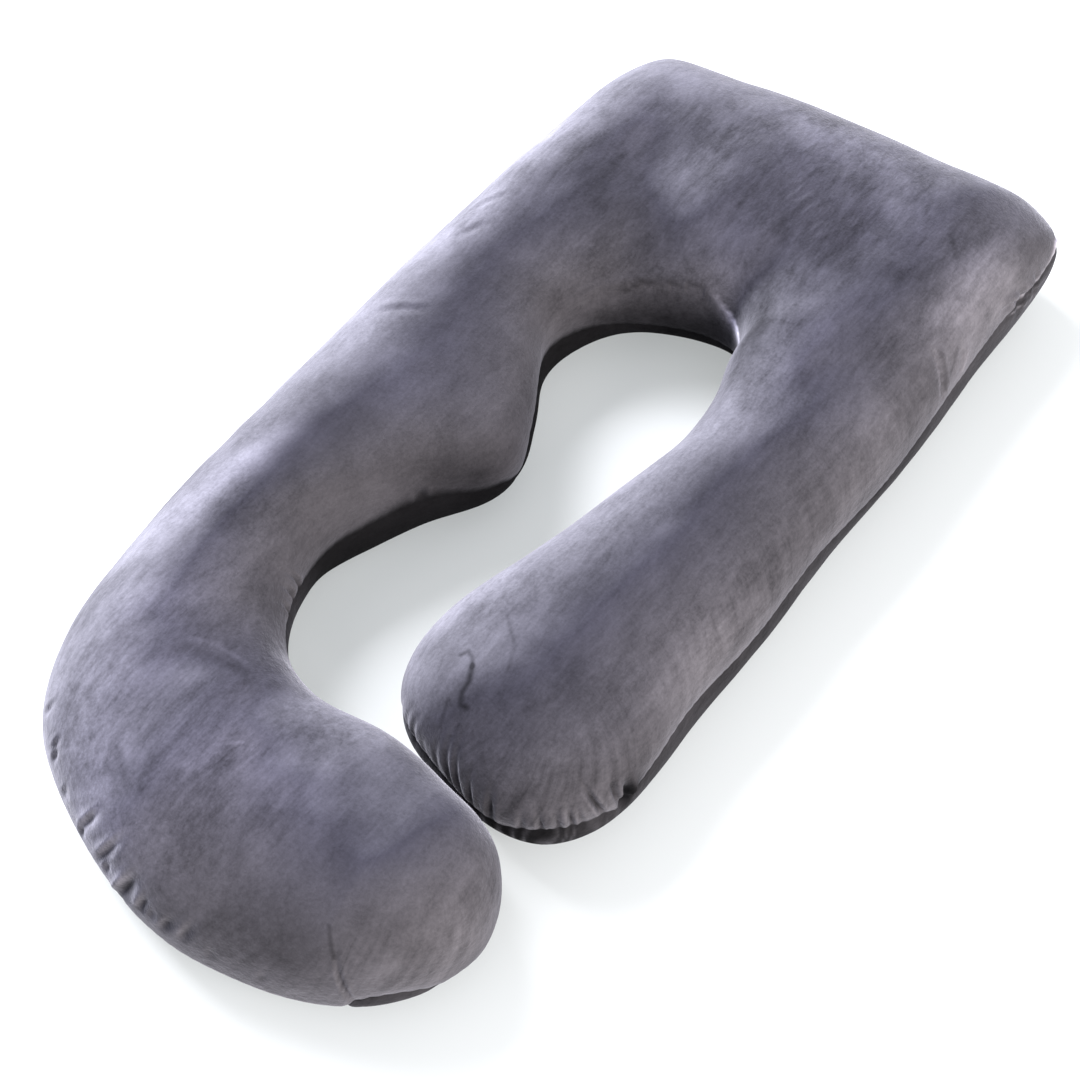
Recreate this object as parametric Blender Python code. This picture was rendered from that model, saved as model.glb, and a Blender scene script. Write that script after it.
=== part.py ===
"""A hooked body pillow, lying on its back: one filled case of two panels sewn edge to edge.

Metres, +Z up, +Y towards the head, +X towards the plain arm. The pillow stands on z = 0 and its
origin is the middle of its box's underside.

The shape is built from cross-sections. Each one is a rib from a point of the outer seam to a point
of the inner seam, with the filled cloth arched over and under it. The ribs run from the hooked foot
up the hooked arm, over the head and down the plain arm; half ribs close both ends.
"""

import math
from collections import namedtuple

import bpy
import numpy as np

# ---------------------------------------------------------------- driving sizes, metres

CASE_NAME = "filled_pillow"
SURFACE_FLATTENING = 0.010   # how far the underside is pressed flat by the surface it lies on
SEAM_PULL = 0.0050           # the stitches hold the seam this far inside the two panels
SEAM_PULL_REACH = 0.009      # and that is felt this far up and down from it
UNDER_BULGE = 0.0015         # the lower panel swells this far past the seam
PUCKER_FADE = 1.5            # how quickly a pucker grows shallow away from the seam (1 = evenly)
UNDERSIDE_CLEARANCE = 0.001  # only the pressed underside comes closer to the surface than this
ARM_END_RIBS = 7             # half ribs between neighbouring seam points of the plain arm's end
FOOT_TIP_RIBS = 5            # and of the hooked foot's tip

VELVET_COLOUR = (0.155, 0.150, 0.185, 1)
VELVET_ROUGHNESS = 0.9

# The rings of points that go round the case, as angles of arch: 0 at the seam, a right angle at
# the spine. The lower ones are shares of the arch from the seam to the flat underside.
RINGS_ABOVE = [math.radians(angle) for angle in (3, 9, 18, 29, 41, 53, 66, 78)]
RINGS_BELOW = (0.05, 0.30, 0.64, 1.0)

# A point of the seam: its place in plan, its height, and how full the panels over and under it
# are (2 = a round arch, 3 and more = a steep side with a shoulder).
Seam = namedtuple("Seam", "x y height over under")

# A cross-section: the outer and the inner seam point, the height of the crest between them, and
# how many ribs there are up to the next section.
Section = namedtuple("Section", "outer inner crest ribs")

SECTIONS = (
    # hooked foot
    Section(Seam(0.152, -0.604, 0.052, 2.2, 2.1), Seam(0.150, -0.380, 0.085, 2.2, 2.4), 0.180, 8),
    Section(Seam(0.070, -0.634, 0.054, 2.2, 2.1), Seam(0.060, -0.370, 0.085, 2.2, 2.4), 0.182, 12),
    Section(Seam(-0.030, -0.642, 0.064, 2.2, 2.2), Seam(-0.020, -0.378, 0.085, 2.2, 2.4), 0.188, 12),
    Section(Seam(-0.120, -0.618, 0.074, 2.2, 2.5), Seam(-0.070, -0.362, 0.085, 2.2, 2.4), 0.189, 12),
    Section(Seam(-0.210, -0.570, 0.080, 2.2, 2.6), Seam(-0.110, -0.322, 0.085, 2.2, 2.3), 0.187, 12),
    # hooked arm
    Section(Seam(-0.265, -0.490, 0.085, 2.2, 2.6), Seam(-0.130, -0.265, 0.085, 2.2, 2.2), 0.183, 7),
    Section(Seam(-0.285, -0.400, 0.085, 2.2, 2.6), Seam(-0.130, -0.205, 0.085, 2.2, 2.0), 0.179, 5),
    Section(Seam(-0.295, -0.290, 0.085, 2.2, 2.6), Seam(-0.102, -0.148, 0.085, 2.2, 2.0), 0.177, 5),
    Section(Seam(-0.299, -0.180, 0.085, 2.2, 2.6), Seam(-0.072, -0.100, 0.085, 2.2, 2.0), 0.179, 5),
    # the bump, and the start of the arch
    Section(Seam(-0.300, -0.070, 0.085, 2.2, 2.6), Seam(-0.037, -0.051, 0.085, 2.2, 2.0), 0.181, 5),
    Section(Seam(-0.300, 0.030, 0.085, 2.2, 2.6), Seam(-0.049, 0.018, 0.085, 2.2, 2.4), 0.177, 4),
    Section(Seam(-0.299, 0.130, 0.085, 2.2, 2.6), Seam(-0.080, 0.075, 0.085, 2.3, 2.8), 0.173, 4),
    Section(Seam(-0.293, 0.260, 0.085, 2.2, 2.6), Seam(-0.103, 0.128, 0.079, 2.6, 2.8), 0.175, 5),
    Section(Seam(-0.280, 0.430, 0.085, 2.2, 2.6), Seam(-0.088, 0.180, 0.078, 3.0, 2.3), 0.179, 4),
    # head's rounder corner
    Section(Seam(-0.262, 0.548, 0.085, 2.2, 2.6), Seam(-0.064, 0.209, 0.078, 3.4, 2.1), 0.177, 3),
    Section(Seam(-0.240, 0.585, 0.085, 2.2, 2.6), Seam(-0.042, 0.225, 0.078, 3.7, 2.0), 0.175, 3),
    Section(Seam(-0.196, 0.597, 0.085, 2.2, 2.6), Seam(-0.019, 0.238, 0.078, 3.9, 2.0), 0.177, 4),
    # head
    Section(Seam(-0.080, 0.608, 0.085, 2.2, 2.6), Seam(0.008, 0.249, 0.078, 4.0, 2.0), 0.181, 4),
    Section(Seam(0.060, 0.618, 0.085, 2.2, 2.6), Seam(0.034, 0.256, 0.078, 4.1, 2.0), 0.182, 4),
    Section(Seam(0.190, 0.620, 0.085, 2.2, 2.6), Seam(0.065, 0.253, 0.080, 4.3, 2.0), 0.181, 4),
    # head's sharper corner
    Section(Seam(0.267, 0.617, 0.085, 2.1, 2.6), Seam(0.082, 0.235, 0.085, 4.4, 2.2), 0.181, 3),
    Section(Seam(0.298, 0.597, 0.085, 2.0, 2.4), Seam(0.086, 0.222, 0.085, 4.3, 2.3), 0.181, 3),
    Section(Seam(0.306, 0.556, 0.085, 2.1, 2.6), Seam(0.087, 0.207, 0.085, 4.0, 2.4), 0.181, 7),
    # plain arm
    Section(Seam(0.299, 0.430, 0.085, 2.2, 3.6), Seam(0.095, 0.170, 0.085, 3.2, 2.4), 0.180, 8),
    Section(Seam(0.300, 0.270, 0.083, 2.2, 2.9), Seam(0.100, 0.110, 0.085, 2.6, 2.4), 0.177, 4),
    Section(Seam(0.298, 0.185, 0.078, 2.2, 2.3), Seam(0.096, 0.072, 0.085, 2.2, 2.4), 0.177, 4),
    Section(Seam(0.290, 0.105, 0.083, 2.2, 3.2), Seam(0.088, 0.030, 0.085, 2.2, 2.4), 0.177, 6),
    Section(Seam(0.286, -0.040, 0.085, 2.2, 3.6), Seam(0.066, -0.070, 0.085, 2.2, 2.4), 0.179, 5),
    Section(Seam(0.280, -0.160, 0.087, 2.2, 4.0), Seam(0.036, -0.170, 0.085, 2.2, 2.4), 0.177, 5),
    Section(Seam(0.282, -0.258, 0.085, 2.2, 2.8), Seam(0.018, -0.258, 0.085, 2.2, 2.4), 0.175, 0),
)

# The seam round the two ends, from the outer side to the inner one and from the inner to the outer.
ARM_END = (
    Seam(0.272, -0.310, 0.085, 2.2, 2.6),
    Seam(0.236, -0.358, 0.085, 2.3, 2.6),
    Seam(0.178, -0.379, 0.085, 2.3, 2.1),
    Seam(0.110, -0.369, 0.085, 2.3, 2.0),
    Seam(0.046, -0.338, 0.085, 2.3, 2.4),
)
FOOT_TIP = (
    Seam(0.203, -0.397, 0.080, 2.2, 2.3),
    Seam(0.238, -0.438, 0.074, 2.2, 2.3),
    Seam(0.249, -0.482, 0.068, 2.2, 2.2),
    Seam(0.236, -0.525, 0.064, 2.2, 2.2),
    Seam(0.203, -0.568, 0.062, 2.2, 2.4),
)

# A pucker is a soft pinch where the thread has drawn the seam up: its place on the seam, how far
# it runs up the panel, half its width, its depth, and how far its top leans along the seam.
Pucker = namedtuple("Pucker", "x y reach half_width depth lean")

PUCKERS = (
    # along the hooked foot's outer side
    Pucker(-0.245, -0.532, 0.045, 0.009, 0.008, 0.3),
    Pucker(-0.206, -0.568, 0.050, 0.010, 0.008, 0.3),
    Pucker(-0.128, -0.610, 0.065, 0.011, 0.010, 0.4),
    Pucker(-0.097, -0.622, 0.045, 0.008, 0.008, 0.3),
    Pucker(-0.075, -0.628, 0.045, 0.008, 0.009, 0.2),
    Pucker(-0.050, -0.634, 0.055, 0.010, 0.013, 0.3),
    Pucker(-0.026, -0.638, 0.040, 0.008, 0.008, 0.2),
    Pucker(0.004, -0.638, 0.045, 0.009, 0.009, 0.4),
    Pucker(0.028, -0.636, 0.040, 0.008, 0.008, 0.6),
    Pucker(0.176, -0.592, 0.080, 0.010, 0.009, -0.1),
    # round the plain arm's end
    Pucker(0.088, -0.362, 0.060, 0.009, 0.006, 0.2),
    Pucker(0.125, -0.370, 0.080, 0.010, 0.006, 0.2),
    Pucker(0.172, -0.376, 0.045, 0.009, 0.006, 0.1),
    Pucker(0.226, -0.360, 0.050, 0.008, 0.007, 0.0),
    Pucker(0.248, -0.342, 0.065, 0.008, 0.008, -0.1),
    Pucker(0.266, -0.317, 0.065, 0.008, 0.008, -0.1),
    Pucker(0.280, -0.272, 0.055, 0.010, 0.013, -0.2),
    # by the head's sharper corner
    Pucker(0.303, 0.500, 0.070, 0.014, 0.008, 0.0),
)


# ---------------------------------------------------------------- curves

def closed_curve(places, values, wanted):
    """A smooth closed curve through values at rising places; the last place is the first again.

    It is a cubic between each two places. Its bends (second derivatives) solve the usual ring of
    equations that makes slope and bend the same on both sides of every place."""
    gaps = np.diff(places)
    count = len(gaps)
    after = np.roll(values, -1, axis=0)
    slopes = (after - values) / gaps[:, None]
    ring = np.zeros((count, count))
    for i in range(count):
        ring[i, i - 1] += gaps[i - 1]
        ring[i, i] += 2 * (gaps[i - 1] + gaps[i])
        ring[i, (i + 1) % count] += gaps[i]
    bends = np.linalg.solve(ring, 6 * (slopes - np.roll(slopes, 1, axis=0)))
    bends_after = np.roll(bends, -1, axis=0)
    i = np.clip(np.searchsorted(places, wanted, side="right") - 1, 0, count - 1)
    gap = gaps[i][:, None]
    back = (wanted - places[i])[:, None]
    ahead = gap - back
    cubic = (bends[i] * ahead ** 3 + bends_after[i] * back ** 3) / (6 * gap)
    straight_from = values[i] / gap - bends[i] * gap / 6
    straight_to = after[i] / gap - bends_after[i] * gap / 6
    return cubic + straight_from * ahead + straight_to * back


# ---------------------------------------------------------------- the case as columns of points

def seam_columns():
    """The closed round of columns: seam rows, spine points in plan, crest heights, spine numbers.

    The round goes up the outer seam, round the plain arm's end, back down the inner seam and
    round the hooked foot's tip. A rib's outer and inner column meet at one spine point, and the
    columns of each end all meet at that end's last one."""
    outer = [(*section.outer, section.crest) for section in SECTIONS]
    inner = [(*section.inner, section.crest) for section in SECTIONS]
    arm_end = [(*seam, SECTIONS[-1].crest) for seam in ARM_END]
    foot_tip = [(*seam, SECTIONS[0].crest) for seam in FOOT_TIP]
    knots = np.array(outer + arm_end + inner[::-1] + foot_tip)
    steps = np.linalg.norm((np.roll(knots, -1, axis=0) - knots)[:, :2], axis=1)
    places = np.concatenate([[0.0], np.cumsum(steps)])
    ribs = [section.ribs for section in SECTIONS[:-1]]
    shares = ribs + [ARM_END_RIBS] * (len(ARM_END) + 1) + ribs[::-1] + [FOOT_TIP_RIBS] * (len(FOOT_TIP) + 1)
    wanted = [np.linspace(places[i], places[i + 1], share + 1)[:-1] for i, share in enumerate(shares)]
    seam = closed_curve(places, knots, np.concatenate(wanted))

    last = sum(ribs)
    arm_columns = ARM_END_RIBS * (len(ARM_END) + 1) - 1
    foot_columns = FOOT_TIP_RIBS * (len(FOOT_TIP) + 1) - 1
    outer_side = seam[:last + 1]
    inner_side = seam[last + 1 + arm_columns:2 * last + 2 + arm_columns][::-1]
    middle = (outer_side + inner_side) / 2
    up = np.arange(last + 1)
    spine_number = np.concatenate([up, np.full(arm_columns, last), up[::-1], np.zeros(foot_columns, int)])
    return seam[:, :5], middle[:, :2], middle[:, 5], spine_number


def arch(seam, spine, crest):
    """Rings of points over and under the seam, shaped (columns, rings, 3).

    A ring's angle t puts it at cos(t) ** (2/n) of the way out from the spine to the seam and
    sin(t) ** (2/n) of the way from the seam's height to the crest, a superellipse of fullness n.
    The lower panel runs as far below the surface as it is flattened, and is cut off there."""
    out = seam[:, :2] - spine
    height, over, under = seam[:, 2:3], seam[:, 3:4], seam[:, 4:5]
    rings = []
    touch = np.arcsin((height / (height + SURFACE_FLATTENING)) ** (under / 2))
    for share in reversed(RINGS_BELOW):
        t = touch * share
        drop = (height + SURFACE_FLATTENING) * np.sin(t) ** (2 / under)
        swell = 1 + UNDER_BULGE * np.sin(math.pi * share) / np.linalg.norm(out, axis=1, keepdims=True)
        plan = spine + out * np.cos(t) ** (2 / under) * swell
        rings.append(np.hstack([plan, np.maximum(height - drop, 0)]))
    rings.append(np.hstack([seam[:, :2], height]))
    for t in RINGS_ABOVE:
        plan = spine + out * math.cos(t) ** (2 / over)
        rings.append(np.hstack([plan, height + (crest - height) * math.sin(t) ** (2 / over)]))
    return np.stack(rings, axis=1)


def distance_from_seam(points, seam_ring):
    """How far each point is from its own column's seam, measured over the cloth; less below it."""
    steps = np.linalg.norm(np.diff(points, axis=1), axis=2)
    run = np.concatenate([np.zeros((len(points), 1)), np.cumsum(steps, axis=1)], axis=1)
    return run - run[:, seam_ring:seam_ring + 1]


def draw_in(points, spine, seam_height, amount):
    """Points moved by amount towards the middle of their column's filling."""
    core = np.dstack([spine[:, None, :], seam_height[:, None, None]])
    core = np.broadcast_to(core, points.shape)
    inward = core - points
    inward = inward / np.linalg.norm(inward, axis=2, keepdims=True)
    return points + inward * amount[:, :, None]


def gather(points, seam, spine, seam_ring):
    """The case with its seam pulled in and every pucker pinched into it.

    A pucker of depth d and half width w takes d * exp(-(s / w) ** 2) off the arch at a distance s
    along the seam from its own line, fading to nothing at its reach."""
    run = distance_from_seam(points, seam_ring)
    amount = SEAM_PULL * np.exp(-(run / SEAM_PULL_REACH) ** 2)
    steps = np.linalg.norm(seam[:, :2] - np.roll(seam[:, :2], 1, axis=0), axis=1)
    along = np.cumsum(steps)
    total = along[-1]
    for pucker in PUCKERS:
        nearest = np.argmin(np.hypot(seam[:, 0] - pucker.x, seam[:, 1] - pucker.y))
        aside = (along - along[nearest] + total / 2) % total - total / 2
        offset = aside[:, None] - pucker.lean * run
        fade = np.clip(1 - np.abs(run) / pucker.reach, 0, 1) ** PUCKER_FADE
        amount = amount + pucker.depth * fade * np.exp(-(offset / pucker.half_width) ** 2)
    on_surface = points[:, :, 2] <= 0
    pulled = draw_in(points, spine, seam[:, 2], np.where(on_surface, 0, amount))
    pulled[:, :, 2] = np.maximum(pulled[:, :, 2], np.where(on_surface, 0, UNDERSIDE_CLEARANCE))
    return pulled


# ---------------------------------------------------------------- the closed mesh

def centred(points):
    """Points moved so that the middle of their box's underside is the origin."""
    low, high = points.min(axis=0), points.max(axis=0)
    return points - np.array([(low[0] + high[0]) / 2, (low[1] + high[1]) / 2, low[2]])


def case_mesh():
    """All vertices and faces of the filled case."""
    seam, spine, crest, spine_number = seam_columns()
    own_spine = spine[spine_number]
    points = arch(seam, own_spine, crest[spine_number][:, None])
    points = gather(points, seam, own_spine, len(RINGS_BELOW))
    columns, rings = points.shape[:2]
    bottom = np.column_stack([spine, np.zeros(len(spine))])
    top = np.column_stack([spine, crest])
    vertices = centred(np.vstack([points.reshape(-1, 3), bottom, top]))
    first_bottom = columns * rings
    first_top = first_bottom + len(spine)

    faces = []
    for a in range(columns):
        b = (a + 1) % columns
        line_a = [first_bottom + spine_number[a], *range(a * rings, (a + 1) * rings),
                  first_top + spine_number[a]]
        line_b = [first_bottom + spine_number[b], *range(b * rings, (b + 1) * rings),
                  first_top + spine_number[b]]
        for low in range(len(line_a) - 1):
            corners = (line_a[low], line_a[low + 1], line_b[low + 1], line_b[low])
            faces.append([int(corner) for corner in dict.fromkeys(corners)])
    return vertices, faces


def velvet():
    """The case's short-pile cloth, grey with a touch of violet."""
    material = bpy.data.materials.new("grey_velvet")
    material.use_nodes = True
    shader = material.node_tree.nodes["Principled BSDF"]
    shader.inputs["Base Color"].default_value = VELVET_COLOUR
    shader.inputs["Roughness"].default_value = VELVET_ROUGHNESS
    shader.inputs["Metallic"].default_value = 0.0
    return material


def filled_case():
    """The pillow's one object: both panels and their filling as a single closed solid."""
    vertices, faces = case_mesh()
    mesh = bpy.data.meshes.new(CASE_NAME)
    mesh.from_pydata([tuple(vertex) for vertex in vertices], [], faces)
    mesh.validate()
    mesh.shade_smooth()
    mesh.materials.append(velvet())
    case = bpy.data.objects.new(CASE_NAME, mesh)
    bpy.context.scene.collection.objects.link(case)
    return case


def main():
    for item in list(bpy.data.objects):
        bpy.data.objects.remove(item, do_unlink=True)
    filled_case()


main()
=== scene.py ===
# %% [markdown]
# # A hooked body pillow in short-pile velvet
#
# The pillow is one bag of cloth stuffed with loose fibre. A maker cuts the same outline twice, sews the
# two panels edge to edge and fills the bag until both panels bulge. What makes it look real is then the
# crown of each arm, the seam drawn in at half height, the puckers where the outline curves hard, and the
# pile of the velvet, which is dark where it is seen from above and pale where it turns away.
#
# This notebook builds it round the finished solid: one fine surface worked out with numpy, then the
# puckers and creases as smooth pushes on that surface, then the velvet, the floor and the lights.

import math
from collections import namedtuple

import bpy
import numpy as np
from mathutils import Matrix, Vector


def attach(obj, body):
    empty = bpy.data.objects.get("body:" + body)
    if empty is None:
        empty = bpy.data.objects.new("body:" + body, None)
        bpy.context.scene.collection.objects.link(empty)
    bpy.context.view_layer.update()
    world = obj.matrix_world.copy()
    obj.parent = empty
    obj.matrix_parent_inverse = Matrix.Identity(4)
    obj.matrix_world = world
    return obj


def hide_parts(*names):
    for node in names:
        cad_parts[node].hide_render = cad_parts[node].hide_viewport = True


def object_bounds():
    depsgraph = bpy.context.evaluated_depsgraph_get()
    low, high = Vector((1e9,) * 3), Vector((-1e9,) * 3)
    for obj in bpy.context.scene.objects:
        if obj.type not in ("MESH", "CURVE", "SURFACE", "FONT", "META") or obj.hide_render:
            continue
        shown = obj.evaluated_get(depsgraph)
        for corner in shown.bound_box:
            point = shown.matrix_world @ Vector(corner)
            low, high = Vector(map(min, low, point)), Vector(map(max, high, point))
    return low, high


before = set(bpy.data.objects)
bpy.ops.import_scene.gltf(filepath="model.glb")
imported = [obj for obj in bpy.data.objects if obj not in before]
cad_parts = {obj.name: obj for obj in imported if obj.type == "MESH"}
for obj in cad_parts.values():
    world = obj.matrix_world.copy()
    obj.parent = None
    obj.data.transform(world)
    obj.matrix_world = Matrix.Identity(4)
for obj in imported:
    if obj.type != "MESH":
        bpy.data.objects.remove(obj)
solid_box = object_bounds()
print("solids:", sorted(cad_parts), "box", [tuple(round(v, 4) for v in corner) for corner in solid_box])

# %% [markdown]
# ## The camera
#
# The pillow is seen from its foot end, well above the floor and a little from the plain arm's side. A
# camera looks down its own -Z, so a tilt of 0 looks straight down and the turn about Z comes last.

# %% Camera
CAMERA_PLACE = (0.6337, -0.9240, 1.6290)
CAMERA_TILT = math.radians(33.8)
CAMERA_TURN = math.radians(35.3)
FOCAL_LENGTH_MM = 58.97
SENSOR_MM = 36.0


def show(name, data):
    """A new object that shows this camera, mesh or light, linked to the scene."""
    made = bpy.data.objects.new(name, data)
    bpy.context.scene.collection.objects.link(made)
    return made


camera_data = bpy.data.cameras.new("camera")
camera_data.lens = FOCAL_LENGTH_MM
camera_data.sensor_width = SENSOR_MM
camera = show("camera", camera_data)
camera.location = CAMERA_PLACE
camera.rotation_euler = (CAMERA_TILT, 0, CAMERA_TURN)
bpy.context.scene.camera = camera
print("camera", CAMERA_PLACE)

# %% [markdown]
# ## The cross-sections
#
# A stuffed arm has no edges, so it can't be drawn from flat views. It is easier to say what it looks like
# cut across: where the seam is on both sides, how high the crest stands between them, and how full the
# panels are. Thirty such sections follow the pillow from the hooked foot round to the plain arm's end, and
# five single seam points close each end. Fullness 2 is a round arch, 3 and more a steep side with a
# shoulder.

# %% Section tables, metres
Seam = namedtuple("Seam", "x y height over under")      # over and under: the fullness of the two panels
Section = namedtuple("Section", "outer inner crest")

SECTIONS = (
    # hooked foot
    Section(Seam(0.152, -0.604, 0.052, 2.2, 2.1), Seam(0.150, -0.380, 0.085, 2.2, 2.4), 0.180),
    Section(Seam(0.070, -0.634, 0.054, 2.2, 2.1), Seam(0.060, -0.370, 0.085, 2.2, 2.4), 0.182),
    Section(Seam(-0.030, -0.642, 0.064, 2.2, 2.2), Seam(-0.020, -0.378, 0.085, 2.2, 2.4), 0.188),
    Section(Seam(-0.120, -0.618, 0.074, 2.2, 2.5), Seam(-0.070, -0.362, 0.085, 2.2, 2.4), 0.189),
    Section(Seam(-0.210, -0.570, 0.080, 2.2, 2.6), Seam(-0.110, -0.322, 0.085, 2.2, 2.3), 0.187),
    # hooked arm
    Section(Seam(-0.265, -0.490, 0.085, 2.2, 2.6), Seam(-0.130, -0.265, 0.085, 2.2, 2.2), 0.183),
    Section(Seam(-0.285, -0.400, 0.085, 2.2, 2.6), Seam(-0.130, -0.205, 0.085, 2.2, 2.0), 0.179),
    Section(Seam(-0.295, -0.290, 0.085, 2.2, 2.6), Seam(-0.102, -0.148, 0.085, 2.2, 2.0), 0.177),
    Section(Seam(-0.299, -0.180, 0.085, 2.2, 2.6), Seam(-0.072, -0.100, 0.085, 2.2, 2.0), 0.179),
    # the belly bump, and the start of the arch
    Section(Seam(-0.300, -0.070, 0.085, 2.2, 2.6), Seam(-0.037, -0.051, 0.085, 2.2, 2.0), 0.181),
    Section(Seam(-0.300, 0.030, 0.085, 2.2, 2.6), Seam(-0.049, 0.018, 0.085, 2.2, 2.4), 0.177),
    Section(Seam(-0.299, 0.130, 0.085, 2.2, 2.6), Seam(-0.080, 0.075, 0.085, 2.3, 2.8), 0.173),
    Section(Seam(-0.293, 0.260, 0.085, 2.2, 2.6), Seam(-0.103, 0.128, 0.079, 2.6, 2.8), 0.175),
    Section(Seam(-0.280, 0.430, 0.085, 2.2, 2.6), Seam(-0.088, 0.180, 0.078, 3.0, 2.3), 0.179),
    # the head's rounder corner
    Section(Seam(-0.262, 0.548, 0.085, 2.2, 2.6), Seam(-0.064, 0.209, 0.078, 3.4, 2.1), 0.177),
    Section(Seam(-0.240, 0.585, 0.085, 2.2, 2.6), Seam(-0.042, 0.225, 0.078, 3.7, 2.0), 0.175),
    Section(Seam(-0.196, 0.597, 0.085, 2.2, 2.6), Seam(-0.019, 0.238, 0.078, 3.9, 2.0), 0.177),
    # the head
    Section(Seam(-0.080, 0.608, 0.085, 2.2, 2.6), Seam(0.008, 0.249, 0.078, 4.0, 2.0), 0.181),
    Section(Seam(0.060, 0.618, 0.085, 2.2, 2.6), Seam(0.034, 0.256, 0.078, 4.1, 2.0), 0.182),
    Section(Seam(0.190, 0.620, 0.085, 2.2, 2.6), Seam(0.065, 0.253, 0.080, 4.3, 2.0), 0.181),
    # the head's sharper corner
    Section(Seam(0.267, 0.617, 0.085, 2.1, 2.6), Seam(0.082, 0.235, 0.085, 4.4, 2.2), 0.181),
    Section(Seam(0.298, 0.597, 0.085, 2.0, 2.4), Seam(0.086, 0.222, 0.085, 4.3, 2.3), 0.181),
    Section(Seam(0.306, 0.556, 0.085, 2.1, 2.6), Seam(0.087, 0.207, 0.085, 4.0, 2.4), 0.181),
    # plain arm
    Section(Seam(0.299, 0.430, 0.085, 2.2, 3.6), Seam(0.095, 0.170, 0.085, 3.2, 2.4), 0.180),
    Section(Seam(0.300, 0.270, 0.083, 2.2, 2.9), Seam(0.100, 0.110, 0.085, 2.6, 2.4), 0.177),
    Section(Seam(0.298, 0.185, 0.078, 2.2, 2.3), Seam(0.096, 0.072, 0.085, 2.2, 2.4), 0.177),
    Section(Seam(0.290, 0.105, 0.083, 2.2, 3.2), Seam(0.088, 0.030, 0.085, 2.2, 2.4), 0.177),
    Section(Seam(0.286, -0.040, 0.085, 2.2, 3.6), Seam(0.066, -0.070, 0.085, 2.2, 2.4), 0.179),
    Section(Seam(0.280, -0.160, 0.087, 2.2, 4.0), Seam(0.036, -0.170, 0.085, 2.2, 2.4), 0.177),
    Section(Seam(0.282, -0.258, 0.085, 2.2, 2.8), Seam(0.018, -0.258, 0.085, 2.2, 2.4), 0.175),
)
ARM_END = (
    Seam(0.272, -0.310, 0.085, 2.2, 2.6),
    Seam(0.236, -0.358, 0.085, 2.3, 2.6),
    Seam(0.178, -0.379, 0.085, 2.3, 2.1),
    Seam(0.110, -0.369, 0.085, 2.3, 2.0),
    Seam(0.046, -0.338, 0.085, 2.3, 2.4),
)
FOOT_TIP = (
    Seam(0.203, -0.397, 0.080, 2.2, 2.3),
    Seam(0.238, -0.438, 0.074, 2.2, 2.3),
    Seam(0.249, -0.482, 0.068, 2.2, 2.2),
    Seam(0.236, -0.525, 0.064, 2.2, 2.2),
    Seam(0.203, -0.568, 0.062, 2.2, 2.4),
)
print(len(SECTIONS), "sections and", len(ARM_END) + len(FOOT_TIP), "end points")

# %% [markdown]
# ## One closed seam
#
# The seam is a single loop: up the outside, round the plain arm's end, back along the inside and round
# the foot's tip. A cubic spline through the table's points keeps it smooth. The spline carries more than
# the place: the seam's height, the two fullnesses and the crest ride on it too, so all of them change
# smoothly from section to section.

# %% The seam curve
RIB_STEP = 0.0060      # between neighbouring columns of points, along the outer seam
FINE_STEP = 0.0028     # and round the ends, the foot and the corner, where the thread gathers the cloth
GATHERED = (0, 1, 2, 3, 4, 20, 21, 22, 28)     # the sections that a fine stretch follows


def closed_curve(places, values, wanted):
    """A smooth closed curve through values at rising places.

    A cubic between each two places, whose bends (second derivatives) solve the ring of equations
    that makes slope and bend equal on both sides of every place."""
    gaps = np.diff(places)
    count = len(gaps)
    after = np.roll(values, -1, axis=0)
    slopes = (after - values) / gaps[:, None]
    gaps_before = np.roll(gaps, 1)
    here = np.arange(count)
    ring = np.zeros((count, count))
    np.add.at(ring, (here, here - 1), gaps_before)
    np.add.at(ring, (here, here), 2 * (gaps_before + gaps))
    np.add.at(ring, (here, (here + 1) % count), gaps)
    bends = np.linalg.solve(ring, 6 * (slopes - np.roll(slopes, 1, axis=0)))
    bends_after = np.roll(bends, -1, axis=0)
    i = np.clip(np.searchsorted(places, wanted, side="right") - 1, 0, count - 1)
    gap = gaps[i][:, None]
    back = (wanted - places[i])[:, None]
    ahead = gap - back
    cubic = (bends[i] * ahead ** 3 + bends_after[i] * back ** 3) / (6 * gap)
    return (cubic + (values[i] / gap - bends[i] * gap / 6) * ahead
            + (after[i] / gap - bends_after[i] * gap / 6) * back)


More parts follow.
